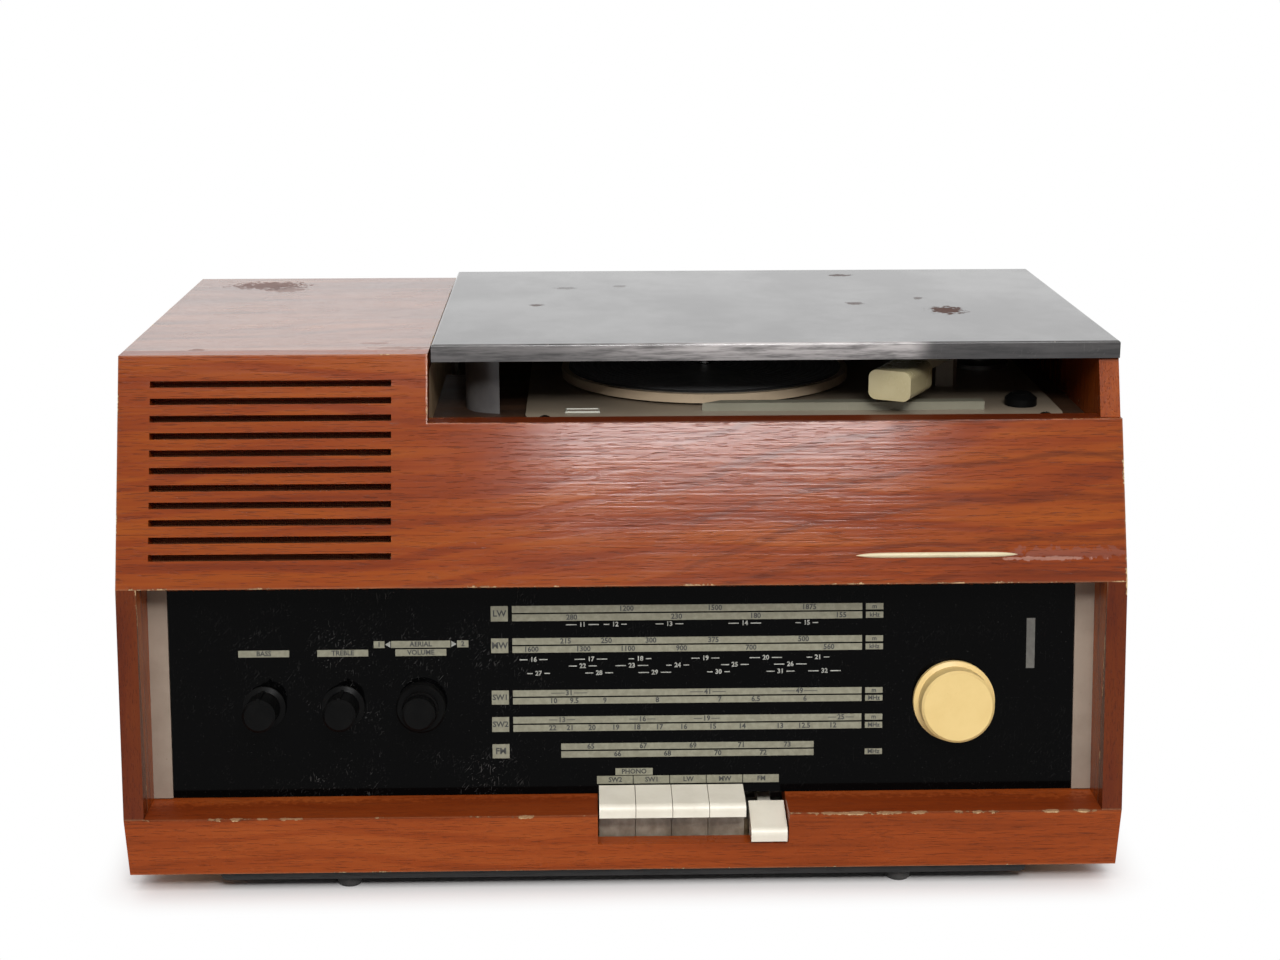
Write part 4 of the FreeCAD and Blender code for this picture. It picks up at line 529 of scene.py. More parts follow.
def front_panel_finish():
    """Upper front panel: chips round its edges and the record slot, a scuffed streak, and a dark sill that
    is partly its own dark tone and partly painted shade under the lid.
    """
    nose = PANEL_FOOT[1]
    edges = [
        panel_edge(cabinet_left, nose, cabinet_right, nose, 2.6, 0.52),
        panel_edge(NOTCH_LEFT, SILL_Z, NOTCH_LEFT, PANEL_TOP, 2.4, 0.6),
        panel_edge(NOTCH_LEFT, SILL_Z, cabinet_right, SILL_Z, 1.6, 0.42),
        panel_edge(cabinet_left, nose, cabinet_left, PANEL_TOP, 2.0, 0.45),
        panel_edge(cabinet_left, PANEL_TOP, NOTCH_LEFT, PANEL_TOP, 1.8, 0.45),
        panel_edge(cabinet_right, nose, cabinet_right, SILL_Z, 2.4, 0.5),
    ]
    scuff = tuple(on_panel(0.263, 0.0175, 0.0))
    scratch = tuple(on_panel(0.25, 0.0145, 0.0))
    sill_tone_and_shade = (0.085, -0.1195, SILL_Z)
    marks = [
        (scuff, (0.036, 0.004, 0.004), (0.20, 0.07, 0.05), 0.4, RAGGED),
        (scratch, (0.03, 0.0012, 0.0012), (0.5, 0.26, 0.19), 0.5, RAGGED),
        # Dark sill: partly its own dark tone, partly painted shade under the lid's overhang.
        (sill_tone_and_shade, (0.26, 0.013, 0.0013), SILL_TONE_AND_SHADE, 0.85, EVEN),
    ]
    return veneer("front_veneer", ALONG_X_PANEL, FRONT_TONES, edges, marks,
                  gloss=0.13, shine=0.2, lacquer=0.03, figure=0.6)


def rail_finish(name):
    """Lower front rail and its ledge: a duller face, a top darkened as painted shade of the recess under the
    panel's nose, and chips on the upper front edge.
    """
    low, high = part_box("front_rail")
    foot_y = low.y + (high.z - low.z) * sin(RAIL_LEAN)
    edges = [
        ((low.x, low.y, high.z), (high.x, low.y, high.z), 3.0 * MM, 1.0),
        ((low.x, foot_y, low.z), (high.x, foot_y, low.z), 2.4 * MM, 0.45),
    ]
    # Painted shade: the rail's top is darkened where it lies in the recess under the panel's nose.
    top = (0, high.y - LEDGE_INSET, high.z)
    marks = [(top, (0.5, 0.034, 0.0014), (0.13, 0.016, 0.002), 0.6, EVEN)]
    return veneer(name, ALONG_X_RAIL, RAIL_TONES, edges, marks,
                  gloss=0.28, shine=0.1, lacquer=0.0, seed=0.7)


TOP_STAIN = (0.10, 0.03, 0.018)
TOP_STAINS = [
    # centre x and y and half sizes in metres, and strength
    (-0.246, 0.146, 0.026, 0.017, 0.8),
    (-0.233, 0.128, 0.012, 0.013, 0.5),
    (-0.134, -0.094, 0.018, 0.004, 0.4),
    (-0.151, -0.078, 0.012, 0.003, 0.35),
    (-0.256, -0.098, 0.006, 0.004, 0.6),
]
STAIN_DEEP = 0.02


def top_finish():
    """Top board: stained patches and worn edges."""
    low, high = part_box("top_board")
    left, right = (low.x, low.y, high.z), (high.x, low.y, high.z)
    edges = [
        (left, right, EDGE_REACH, 0.45),
        (left, (low.x, high.y, high.z), EDGE_REACH, 0.45),
        (right, (high.x, high.y, high.z), EDGE_REACH, 0.5),
    ]
    marks = []
    for x, y, half_x, half_y, strength in TOP_STAINS:
        marks.append(((x, y, high.z), (half_x, half_y, STAIN_DEEP), TOP_STAIN, strength, RAGGED))
    return veneer("top_veneer", (0, 0, 0), TOP_TONES, edges, marks,
                  gloss=0.26, shine=0.55, lacquer=0.5, seed=1.9)


def side_finish(name):
    """Side board: upright grain, worn front edges and a darker sloping front face."""
    low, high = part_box(name)
    foot = (DIAL_FOOT[0] - SIDE_PROUD, DIAL_FOOT[1])
    edges = [((x, *PANEL_FOOT), (x, *foot), EDGE_REACH, 0.62) for x in (low.x, high.x)]
    edges.append(((low.x, low.y, DIAL_FOOT[1]), (high.x, low.y, DIAL_FOOT[1]), EDGE_REACH, 0.45))
    return veneer(name + "_veneer", UPRIGHT, SIDE_TONES, edges, (),
                  gloss=0.25, shine=0.15, lacquer=0.05, seed=low.x, darkened_face=(PANEL_FOOT, foot))


def plain_wood(name, tones, gloss=0.6):
    """Unlacquered board: grain with open pores."""
    material, tree, where = start_finish(name)
    colour, tone, pores = wood(tree, where, tones)
    colour = blend(tree, times(tree, pores, 0.5), colour, tones[0])
    rough = times_plus(tree, noise(tree, where, 60), 0.2, gloss - 0.1)
    return finish(material, times_plus(tree, pores, -0.6, tone), 0.0003, Base_Color=colour, Roughness=rough)


def fibre_board():
    """Pressed fibre: mottled brown with short fibres in every direction."""
    material, tree, where = start_finish("pressed_fibre", Roughness=0.8)
    fibres = noise(tree, where, 900, 6, 0.75, 1.2)
    cloudy = noise(tree, where, 22, 4, 0.6)
    tone = times_plus(tree, cloudy, 0.5, times(tree, fibres, 0.5))
    colour = shades(tree, tone, [(0.32, (0.10, 0.05, 0.025)), (0.5, (0.19, 0.105, 0.055)),
                                 (0.68, (0.28, 0.17, 0.095))])
    return finish(material, fibres, 0.0003, Base_Color=colour)


# Lid lacquer

LID_CHIPS = [
    # centre x and y, half sizes in millimetres, and strength of the bare patches on the lid's top
    (213, -3, 11, 14, 1.0),
    (156, 25, 6, 5, 0.6),
    (160, 144, 8, 5, 0.65),
    (-54, 24, 5, 4, 0.65),
    (-36, 93, 7, 5, 0.3),
    (201, 44, 3, 5, 0.45),
    (2, 101, 4, 4, 0.3),
]
LID_CHIP_DEEP = 6 * MM
LID_FRONT_BAND = (0.6 * MM, 2.2 * MM)
# Ends of the lid's grey front band, which is partly rubbed wear and partly painted reflection.
WEAR_AND_SHEEN_RISES = (-63 * MM, 67 * MM)
WEAR_AND_SHEEN_FALLS = (171 * MM, 189 * MM)


def lid_finish():
    """Black lacquer: cloudy gloss, hairlines, bare brown chips, and a grey band on the front edge, partly
    rubbed wear and partly painted reflection.
    """
    material, tree, where = start_finish("lid_lacquer", Specular_IOR_Level=0.25, Coat_Roughness=0.12)
    low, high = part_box("lid")
    cloudy = streaked(tree, where, (14, 9, 14), 5, 0.6)
    colour = shades(tree, cloudy, [(0.3, (0.008, 0.008, 0.009)), (0.7, (0.022, 0.021, 0.021))])
    scratched = hairlines(tree, where, 0.3)
    colour = blend(tree, scratched, colour, (0.16, 0.15, 0.145))
    parts = axes(tree, where)
    # Grey band along the front edge, stronger towards the top: partly rubbed wear, partly painted reflection
    # of the bright surroundings.
    front = between(tree, sums(tree, "SUBTRACT", parts["Y"], low.y), *LID_FRONT_BAND, 1.0, 0.0)
    wear_and_sheen = streaked(tree, where, (24, 300, 300), 4, 0.7)
    started = between(tree, parts["X"], *WEAR_AND_SHEEN_RISES, 0.3, 1.0)
    ended = between(tree, parts["X"], *WEAR_AND_SHEEN_FALLS, 1.0, 0.1)
    upper = between(tree, parts["Z"], low.z, high.z, 0.52, 1.0)
    middle = times(tree, times(tree, started, ended), upper)
    front_wear_and_reflection = times(tree, times(tree, front, middle), between(tree, wear_and_sheen, 0.3, 0.62, 0.2, 1.0))
    colour = blend(tree, front_wear_and_reflection, colour, (0.56, 0.52, 0.51))
    worn = chipped(tree, where, (low.x, low.y, high.z), (high.x, low.y, high.z), 2.0 * MM, 0.5)
    colour = blend(tree, times(tree, worn, 0.75), colour, (0.34, 0.31, 0.28))
    for x, y, half_x, half_y, strength in LID_CHIPS:
        centre, size = (x * MM, y * MM, high.z), (half_x * MM, half_y * MM, LID_CHIP_DEEP)
        mark = times(tree, spot(tree, where, centre, size, RAGGED), strength)
        worn = larger(tree, worn, mark)
        colour = blend(tree, mark, colour, (0.06, 0.02, 0.011))
    rough = times_plus(tree, cloudy, 0.14, times_plus(tree, worn, 0.5, 0.12))
    cover = between(tree, cloudy, 0.3, 0.7, 0.42, 0.72)
    coat = times(tree, cover, sums(tree, "SUBTRACT", 1, worn, clamp=True))
    return finish(material, times_plus(tree, worn, -1.0, times(tree, cloudy, 0.15)), 0.0003,
                  Base_Color=colour, Roughness=rough, Coat_Weight=coat)


# Glass, plastic, metal, rubber and cloth

KNOBS_X = -140 * MM
KNOB_MARKS_REACH = (30 * MM, 120 * MM)


def dial_glass_finish():
    """Gloss black glass: hairlines gathered round the small knobs, and faint dust."""
    material, tree, where = start_finish("black_glass", Specular_IOR_Level=0.05)
    knobs = sums(tree, "ABSOLUTE", sums(tree, "SUBTRACT", axes(tree, where)["X"], KNOBS_X))
    near = between(tree, knobs, *KNOB_MARKS_REACH, 1.0, 0.1)
    scratched = hairlines(tree, where, near)
    dust = between(tree, noise(tree, where, 1400, 2, 0.5), 0.7, 0.76)
    marked = larger(tree, scratched, times(tree, dust, 0.4))
    colour = blend(tree, marked, (0.0008, 0.0008, 0.0009), (0.09, 0.087, 0.084))
    rough = times_plus(tree, marked, 0.35, 0.07)
    return finish(material, times(tree, scratched, -1.0), 0.00005, Base_Color=colour, Roughness=rough)


def printed(name, pale, worn):
    """Screen print: flat ink with thin places."""
    material, tree, where = start_finish(name, Roughness=0.42)
    thin = between(tree, noise(tree, where, 300, 4, 0.65), 0.35, 0.7)
    return finish(material, thin, 0.00003, Base_Color=blend(tree, thin, worn, pale))


def plastic(name, clean, soiled, gloss, amount=0.35, dirt_and_shade=None, shine=0.5):
    """Moulded plastic: faint mottling, specks and hairlines; a given function of tree and where may add a
    colour by a mask, such as dirt and painted shade.
    """
    material, tree, where = start_finish(name, Specular_IOR_Level=shine)
    mottled = noise(tree, where, 55, 5, 0.6)
    colour = blend(tree, between(tree, mottled, 0.35, 0.75, 0.0, amount), clean, soiled)
    specks = between(tree, noise(tree, where, 700, 2, 0.5), 0.72, 0.77)
    scratched = hairlines(tree, where, 0.35)
    dirt = larger(tree, times(tree, specks, 0.6), scratched)
    colour = blend(tree, dirt, colour, soiled)
    if dirt_and_shade:
        shade, mask = dirt_and_shade(tree, where)
        colour = blend(tree, mask, colour, shade)
    rough = times_plus(tree, mottled, 0.2, times_plus(tree, dirt, 0.2, gloss - 0.1))
    return finish(material, times_plus(tree, dirt, -1.0, mottled), 0.00006,
                  Base_Color=colour, Roughness=rough)


APRON_TOP = (49.4 * MM, 50.2 * MM)


def key_grime(tree, where):
    """Colour and mask of patchy grey-brown on the aprons under the key caps: partly handling dirt, partly
    painted shade under the caps.
    """
    below = between(tree, axes(tree, where)["Z"], *APRON_TOP, 1.0, 0.0)
    patchy = streaked(tree, where, (60, 60, 45), 4, 0.6)
    shade = shades(tree, patchy, [(0.36, (0.085, 0.066, 0.045)), (0.5, (0.20, 0.17, 0.125)),
                                  (0.66, (0.36, 0.325, 0.26))])
    return shade, times(tree, below, 0.95)


def painted(name, clean, worn, gloss, fleck=90):
    """Painted metal: cloudy tone, hairlines and flecks worn through to a second tone."""
    material, tree, where = start_finish(name)
    cloudy = noise(tree, where, 40, 5, 0.6)
    flecks = between(tree, noise(tree, where, fleck, 6, 0.75), 0.62, 0.72)
    scratched = hairlines(tree, where, 0.5)
    mask = larger(tree, times(tree, flecks, 0.5), scratched)
    shaded = blend(tree, between(tree, cloudy, 0.3, 0.75, 0.0, 0.35), clean, worn)
    rough = times_plus(tree, cloudy, 0.24, times_plus(tree, mask, 0.15, gloss - 0.12))
    return finish(material, times_plus(tree, mask, -1.0, cloudy), 0.00005,
                  Base_Color=blend(tree, mask, shaded, worn), Roughness=rough)


def brushed(name, pale, dark, gloss):
    """Drawn or turned metal: fine streaks along X over a cloudy tone."""
    material, tree, where = start_finish(name, Metallic=1.0)
    streaks = streaked(tree, where, (40, 1800, 1800), 3, 0.6)
    cloudy = noise(tree, where, 30, 4, 0.6)
    tone = times_plus(tree, streaks, 0.5, times(tree, cloudy, 0.5))
    return finish(material, streaks, 0.00003,
                  Base_Color=shades(tree, tone, [(0.35, dark), (0.65, pale)]),
                  Roughness=times_plus(tree, tone, 0.3, gloss - 0.15))


SHIELD_END = (-20 * MM, -18 * MM)


def trim_bar_finish():
    """Deck fittings: a pale enamelled bar, and a dull grey shield sheet to the left of it."""
    material, tree, where = start_finish("bar_and_shield")
    cloudy = noise(tree, where, 45, 5, 0.6)
    scratched = hairlines(tree, where, 0.5)
    soiled = between(tree, cloudy, 0.3, 0.75, 0.0, 0.4)
    bar = blend(tree, soiled, (0.25, 0.24, 0.18), (0.18, 0.165, 0.12))
    dulled = between(tree, cloudy, 0.3, 0.75)
    sheet = blend(tree, dulled, (0.09, 0.085, 0.085), (0.15, 0.14, 0.135))
    left = between(tree, axes(tree, where)["X"], *SHIELD_END, 1.0, 0.0)
    colour = blend(tree, scratched, blend(tree, left, bar, sheet), (0.3, 0.27, 0.22))
    return finish(material, times_plus(tree, scratched, -1.0, cloudy), 0.00005,
                  Base_Color=colour, Roughness=times_plus(tree, cloudy, 0.2, 0.28))


PLATTER_CENTRE = (57 * MM, 28 * MM, 0)
RIB_PITCH = 4.2 * MM


def ribbed_mat():
    """Rubber mat: rings, a sine of the distance from the spindle, with grey dust between them."""
    material, tree, where = start_finish("ribbed_rubber", Sheen_Weight=0.2)
    offset = vectors(tree, "MULTIPLY", vectors(tree, "SUBTRACT", where, PLATTER_CENTRE), (1, 1, 0))
    away = vectors(tree, "LENGTH", offset, output=1)
    rings = times_plus(tree, sums(tree, "SINE", times(tree, away, 2 * pi / RIB_PITCH)), 0.5, 0.5)
    settled = between(tree, noise(tree, where, 120, 5, 0.7), 0.4, 0.75)
    dust = times(tree, settled, sums(tree, "SUBTRACT", 1, rings))
    colour = blend(tree, times(tree, dust, 0.5), (0.017, 0.016, 0.015), (0.14, 0.12, 0.10))
    return finish(material, between(tree, rings, 0.25, 0.75), 0.0006,
                  Base_Color=colour, Roughness=times_plus(tree, dust, 0.3, 0.55))


def matt_rubber(name, tone):
    """Matt rubber or felted paper: fine grain and grey bloom."""
    material, tree, where = start_finish(name, Roughness=0.8)
    grain = noise(tree, where, 1100, 4, 0.7)
    bloom = between(tree, noise(tree, where, 45, 5, 0.65), 0.4, 0.75)
    pale = tuple(part * 2.6 + 0.02 for part in tone)
    return finish(material, grain, 0.00012, Base_Color=blend(tree, times(tree, bloom, 0.6), tone, pale))


THREAD_PITCH = 1.1 * MM


def grille_cloth():
    """Dark woven cloth behind the slots."""
    material, tree, where = start_finish("grille_weave", Roughness=0.9, Sheen_Weight=0.3)
    threads = use_group(tree, WEAVE, "Height", {"Vector": where, "Pitch": THREAD_PITCH})
    slub = streaked(tree, where, (30, 200, 400), 4, 0.6)
    tone = times_plus(tree, threads, 0.6, times(tree, slub, 0.4))
    colour = shades(tree, tone, [(0.15, (0.10, 0.03, 0.010)), (0.8, (0.42, 0.15, 0.05))])
    return finish(material, threads, 0.0004, Base_Color=colour)


def clear_glass():
    """Bulb glass with a faint silvery bloom inside."""
    material, tree, where = start_finish("bulb_glass_clear", Transmission_Weight=1.0, IOR=1.45)
    bloom = between(tree, noise(tree, where, 35, 3, 0.6), 0.4, 0.7)
    colour = blend(tree, bloom, (0.93, 0.95, 0.94), (0.7, 0.74, 0.73))
    rough = times_plus(tree, bloom, 0.12, 0.02)
    link(tree, tree.nodes[SHADER], Base_Color=colour, Roughness=rough)
    return material


WHITE_WOOD = ((0.22, 0.13, 0.065), (0.36, 0.24, 0.13), (0.48, 0.35, 0.21))
BLACK_WOOD = ((0.003, 0.003, 0.003), (0.005, 0.005, 0.005), (0.009, 0.008, 0.008))
DARK_WOOD = ((0.02, 0.009, 0.005), (0.045, 0.02, 0.009), (0.085, 0.04, 0.018))
IVORY = ((0.84, 0.79, 0.67), (0.6, 0.54, 0.43))

FINISHES = {
    "plain_board": plain_wood("white_wood", WHITE_WOOD),
    "dark_board": plain_wood("stained_wood", DARK_WOOD, gloss=0.5),
    "fibre_board": fibre_board(),
    "foot_rubber": matt_rubber("foot_rubber_matt", (0.025, 0.024, 0.023)),
    "cloth": grille_cloth(),
    "cone_paper": matt_rubber("cone_felt", (0.03, 0.027, 0.024)),
    "plated_steel": brushed("plated_sheet", (0.58, 0.56, 0.52), (0.36, 0.34, 0.31), 0.42),
    "alloy": brushed("turned_alloy", (0.74, 0.74, 0.73), (0.5, 0.5, 0.49), 0.35),
    "bulb_glass": clear_glass(),
    "dial_black": dial_glass_finish(),
    "grey_strip": plastic("strip_grey", (0.32, 0.255, 0.2), (0.18, 0.135, 0.1), 0.45, shine=0.3),
    "pointer_red": plastic("pointer_lacquer", (0.55, 0.07, 0.04), (0.3, 0.04, 0.03), 0.35),
    "cream_plastic": plastic("aged_cream", (0.84, 0.62, 0.26), (0.72, 0.5, 0.18), 0.38, 0.3),
    "black_plastic": plastic("moulded_black", (0.003, 0.003, 0.003), (0.01, 0.0095, 0.009), 0.3,
                             shine=0.05),
    # Keys whose aprons are darkened partly by dirt and partly by painted shade under the caps.
    "key_ivory": plastic("key_ivory_shaded_aprons", *IVORY, 0.36, 0.3, key_grime),
    "deck_paint": painted("deck_enamel", (0.25, 0.20, 0.145), (0.34, 0.28, 0.21), 0.42),
    "bar_enamel": painted("pale_enamel", (0.45, 0.45, 0.375), (0.3, 0.265, 0.2), 0.36),
    "mat_rubber": ribbed_mat(),
    "bright_steel": brushed("polished_steel", (0.80, 0.79, 0.77), (0.62, 0.61, 0.59), 0.2),
    "motor_grey": painted("motor_enamel", (0.24, 0.25, 0.25), (0.38, 0.37, 0.35), 0.4),
    "ferrite": matt_rubber("sintered_ferrite", (0.06, 0.055, 0.05)),
    "hinge_brass": brushed("dull_brass", (0.66, 0.49, 0.21), (0.40, 0.28, 0.11), 0.4),
}

OWN_FINISH = {
    "front_panel": front_panel_finish(),
    "front_rail": rail_finish("rail_veneer"),
    "top_board": top_finish(),
    "left_side": side_finish("left_side"),
    "right_side": side_finish("right_side"),
    "lid": lid_finish(),
    # The head's cream is darker than the arm's: painted shade of the lid.
    "pickup_head": plastic("head_cream_shaded", (0.52, 0.45, 0.26), (0.36, 0.29, 0.14), 0.26, 0.35),
    "tonearm": plastic("arm_cream", (0.66, 0.60, 0.42), (0.48, 0.42, 0.27), 0.32, 0.3),
    "platter": painted("platter_enamel", (0.7, 0.55, 0.38), (0.5, 0.38, 0.25), 0.34),
    "deck_trim_bar": trim_bar_finish(),
    # The pressed key, whose aprons carry neither the dirt nor the painted shade.
    "key_5": plastic("key_ivory_plain_aprons", *IVORY, 0.36, 0.3),
    "arm_base": painted("arm_base_enamel", (0.06, 0.052, 0.042), (0.13, 0.11, 0.09), 0.4),
    "base_plate": plain_wood("base_stain", BLACK_WOOD, gloss=0.7),
    "rail_ledge": rail_finish("ledge_veneer"),
    "idler_wheel": matt_rubber("idler_rubber", (0.035, 0.033, 0.03)),
}


def dress_frame():
    """Gives every piece of the frame its finish."""
    for part in frame["record"]["subparts"]:
        name = part["node"]
        mesh = nodes[name].data
        mesh.materials.clear()
        mesh.materials.append(OWN_FINISH.get(name) or FINISHES[part["material_slot"]])


dress_frame()

# Dial print: heights up the glass and places across it, in millimetres

INK_LIFT = 0.06 * MM
WORD_LIFT = 0.12 * MM
SCALE_ENDS = (-67.8, 145.9)
SCALE_ROWS = [(108.5, 118.0), (88.9, 98.0), (56.8, 65.6), (39.7, 49.0)]
LAST_ROW = (23.1, 32.0)
LAST_ENDS = (-38.6, 116.6)
MID_LINE = 0.45
LABEL_ENDS = (-80.7, -70.3)
UNIT_ENDS = (148.1, 158.8)
UNIT_INSET = 0.2
UPPER_UNITS = ["m", "m", "m", "m", None]
LOWER_UNITS = ["kHz", "kHz", "MHz", "MHz", "MHz"]
BAND_NAMES = ["LW", "MW", "SW1", "SW2", "FM"]

UPPER_NUMBERS = [
    {"1200": 1.8, "1500": 55.7, "1875": 113.4},
    {"215": -35.3, "250": -10.5, "300": 16.7, "375": 54.9, "500": 110.0},
    {"31": -33.4, "41": 51.5, "49": 107.7},
    {"13": -38.0, "16": 11.3, "19": 50.7, "25": 133.3},
    {"65": -20.4, "67": 11.7, "69": 42.3, "71": 72.1, "73": 100.4},
]
LOWER_NUMBERS = [
    {"280": -31.5, "230": 32.4, "180": 80.5, "155": 132.9},
    {"1600": -56.3, "1300": -24.6, "1100": 2.5, "900": 35.4, "700": 77.9, "560": 125.6},
    {"10": -43.0, "9.5": -30.3, "9": -11.6, "8": 20.5, "7": 58.7, "6.5": 80.9, "6": 111.1},
    {"22": -43.7, "21": -33.0, "20": -19.6, "19": -5.1, "18": 7.9, "17": 21.7, "16": 36.6, "15": 54.5,
     "14": 72.5, "13": 95.8, "12.5": 110.7, "12": 128.3},
    {"66": -4.0, "68": 26.6, "70": 57.6, "72": 85.5},
]
BAND_DASH = {2: 11.0, 3: 8.0}
BAND_DASH_START = 2.8
BAND_DASH_HALF = 0.2
NUMBER_SIZE = 4.5
UNIT_SIZE = 3.8
CONTROL_SIZE = 4.2
NAME_SIZE = 6.6
NAME_SHRINK = 0.6

CALL_LINES = [
    (106.1, [-25, -5, 28, 74, 112]),
    (84.6, [-55, -20, 10, 50, 87, 119]),
    (80.4, [-25, 5, 33, 68, 102]),
    (76.0, [-52, -15, 19, 58, 96, 123]),
]
FIRST_CALL = 11
CALL_SIZE = 4.0
CALL_DASH_START = 3.6
CALL_DASH_ENDS = (7.0, 8.5, 10.0)
CALL_DASH_HALF = 0.3

CONTROL_STRIPS = [
    ("BASS", -234.3, -203.4, 87.6, 91.8),
    ("TREBLE", -186.4, -155.5, 87.6, 91.8),
    ("VOLUME", -139.0, -108.0, 87.6, 91.8),
    ("AERIAL", -141.5, -105.5, 92.7, 97.0),
    ("1", -152.1, -145.5, 92.7, 97.0),
    ("2", -101.4, -94.5, 92.7, 97.0),
    ("PHONO", -5.4, 17.5, 11.8, 16.1),
]
KEY_NAMES = ["SW2", "SW1", "LW", "MW", "FM"]
KEY_LABEL_START = -16.8
KEY_LABEL_PITCH = 22.5
KEY_LABEL_GAP = 0.5
KEY_LABEL_UP = (6.3, 11.3)
GREY_BAR = (246.9, 252.1, 76.5, 107.7)
ARROW_CORNERS = [(-145.2, 94.85), (-142.0, 92.95), (-142.0, 96.75),
                 (-101.7, 94.85), (-104.9, 96.75), (-104.9, 92.95)]

print_pale = printed("print_pale", (0.29, 0.28, 0.205), (0.22, 0.21, 0.15))
print_white = printed("print_white", (0.46, 0.46, 0.42), (0.28, 0.28, 0.25))
print_dark = printed("print_dark", (0.012, 0.012, 0.012), (0.05, 0.05, 0.045))
print_grey = printed("print_grey", (0.13, 0.125, 0.11), (0.09, 0.085, 0.075))


def half_rows():
    """Lower and upper strip of every scale row: ends and heights."""
    rows = [SCALE_ENDS + row for row in SCALE_ROWS] + [LAST_ENDS + LAST_ROW]
    for left, right, low, high in rows:
        middle = (low + high) / 2
        yield (left, right, low, middle - MID_LINE), (left, right, middle + MID_LINE, high)


def dash_pair(x, up, start, end, half):
    """Areas of two dashes, from start to end on either side of x."""
    return [(x - end, x - start, up - half, up + half), (x + start, x + end, up - half, up + half)]


def print_scales():
    """Pale scale strips, label boxes and control strips, flat on the glass."""
    halves = list(half_rows())
    areas = [half for pair in halves for half in pair]
    for lower, upper in halves:
        areas.append(LABEL_ENDS + (lower[2], upper[3]))
        areas.append(UNIT_ENDS + (lower[2] + UNIT_INSET, lower[3] - UNIT_INSET))
    areas.extend(UNIT_ENDS + (upper[2] + UNIT_INSET, upper[3] - UNIT_INSET) for lower, upper in halves[:-1])
    areas.extend(strip[1:] for strip in CONTROL_STRIPS)
    for index in range(len(KEY_NAMES)):
        left = KEY_LABEL_START + index * KEY_LABEL_PITCH
        areas.append((left, left + KEY_LABEL_PITCH - KEY_LABEL_GAP) + KEY_LABEL_UP)
    print_plates("dial_strips", areas, INK_LIFT, print_pale)
    print_plates("dial_bar", [GREY_BAR], INK_LIFT, print_grey)


def print_numbers():
    """Dark numbers, band names and control words on the strips, and dashes on two of the bands."""
    words, dashes = [], []
    for row, (lower, upper) in enumerate(half_rows()):
        for half, numbers, unit in ((lower, LOWER_NUMBERS[row], LOWER_UNITS[row]),
                                    (upper, UPPER_NUMBERS[row], UPPER_UNITS[row])):
            up = (half[2] + half[3]) / 2
            words.extend((text, x, up, NUMBER_SIZE) for text, x in numbers.items())
            if unit:
                words.append((unit, sum(UNIT_ENDS) / 2, up, UNIT_SIZE))
        if row in BAND_DASH:
            for x in UPPER_NUMBERS[row].values():
                dashes.extend(dash_pair(x, up, BAND_DASH_START, BAND_DASH[row], BAND_DASH_HALF))
        name = BAND_NAMES[row]
        size = NAME_SIZE - NAME_SHRINK * len(name)
        words.append((name, sum(LABEL_ENDS) / 2, (lower[2] + upper[3]) / 2, size))
    for text, left, right, low, high in CONTROL_STRIPS:
        words.append((text, (left + right) / 2, (low + high) / 2, CONTROL_SIZE))
    for index, text in enumerate(KEY_NAMES):
        x = KEY_LABEL_START + (index + 0.5) * KEY_LABEL_PITCH
        words.append((text, x, sum(KEY_LABEL_UP) / 2, CONTROL_SIZE))
    print_words("dial_numbers", words, WORD_LIFT, print_dark)
    print_plates("dial_dashes", dashes, WORD_LIFT, print_dark)


def print_calls():
    """Plain white call numbers under the upper scales, each between two short dashes."""
    words, dashes = [], []
    number = FIRST_CALL
    for up, places in CALL_LINES:
        for x in places:
            words.append((str(number), x, up, CALL_SIZE))
            end = CALL_DASH_ENDS[number % len(CALL_DASH_ENDS)]
            dashes.extend(dash_pair(x, up, CALL_DASH_START, end, CALL_DASH_HALF))
            number += 1
    print_words("call_numbers", words, INK_LIFT, print_white)
    print_plates("call_dashes", dashes, INK_LIFT, print_white)


def print_arrows():
    """Two small arrowheads beside the aerial strip, pointing outwards."""
    x, up = np.array(ARROW_CORNERS).T * MM
    put_piece("dial_arrows", on_dial(x, up, INK_LIFT), [(0, 1, 2), (3, 4, 5)], print_white)


print_scales()
print_numbers()
print_calls()
print_arrows()

# Small fittings

TRIM_ENDS = (138 * MM, 235 * MM)
TRIM_UP = 17 * MM
TRIM_HALF = 1.6 * MM
TRIM_PROUD = 1.5 * MM
TRIM_TAPER = 8
TRIM_GRID = (41, 13)

trim_gilt = painted("trim_gilt", (0.72, 0.62, 0.40), (0.48, 0.38, 0.2), 0.3, 300)


def add_panel_trim():
    """Plain trim bar: a half-round section carried along the panel, narrowed to a point at both ends.

    Narrowing n(t) = 1 - |t|^TRIM_TAPER for t from -1 to 1; section = n (TRIM_HALF cos a, TRIM_PROUD sin a).
    """
    along = np.linspace(-1, 1, TRIM_GRID[0])[:, None]
    round_angle = np.linspace(0, pi, TRIM_GRID[1])[None, :]
    narrow = 1 - np.abs(along) ** TRIM_TAPER
    middle, half = sum(TRIM_ENDS) / 2, (TRIM_ENDS[1] - TRIM_ENDS[0]) / 2
    across = middle + half * along + 0 * round_angle
    up = TRIM_UP + TRIM_HALF * narrow * np.cos(round_angle)
    out = TRIM_PROUD * narrow * np.sin(round_angle)
    put_piece("panel_trim", on_panel(across, up, out), grid_faces(*TRIM_GRID), trim_gilt, True)


# Screw heads: heights and slot as shares of the radius, points from middle to rim and round it
SCREW_DOME = 0.42
SLOT_HALF = 0.16
SLOT_END = 0.9
SLOT_DEEP = 0.3
SCREW_GRID = (9, 40)
FIRST_TURN, NEXT_TURN = 0.5, 1.3
SEAT_GAP = 0.05 * MM
DECK_TOP = 280 * MM


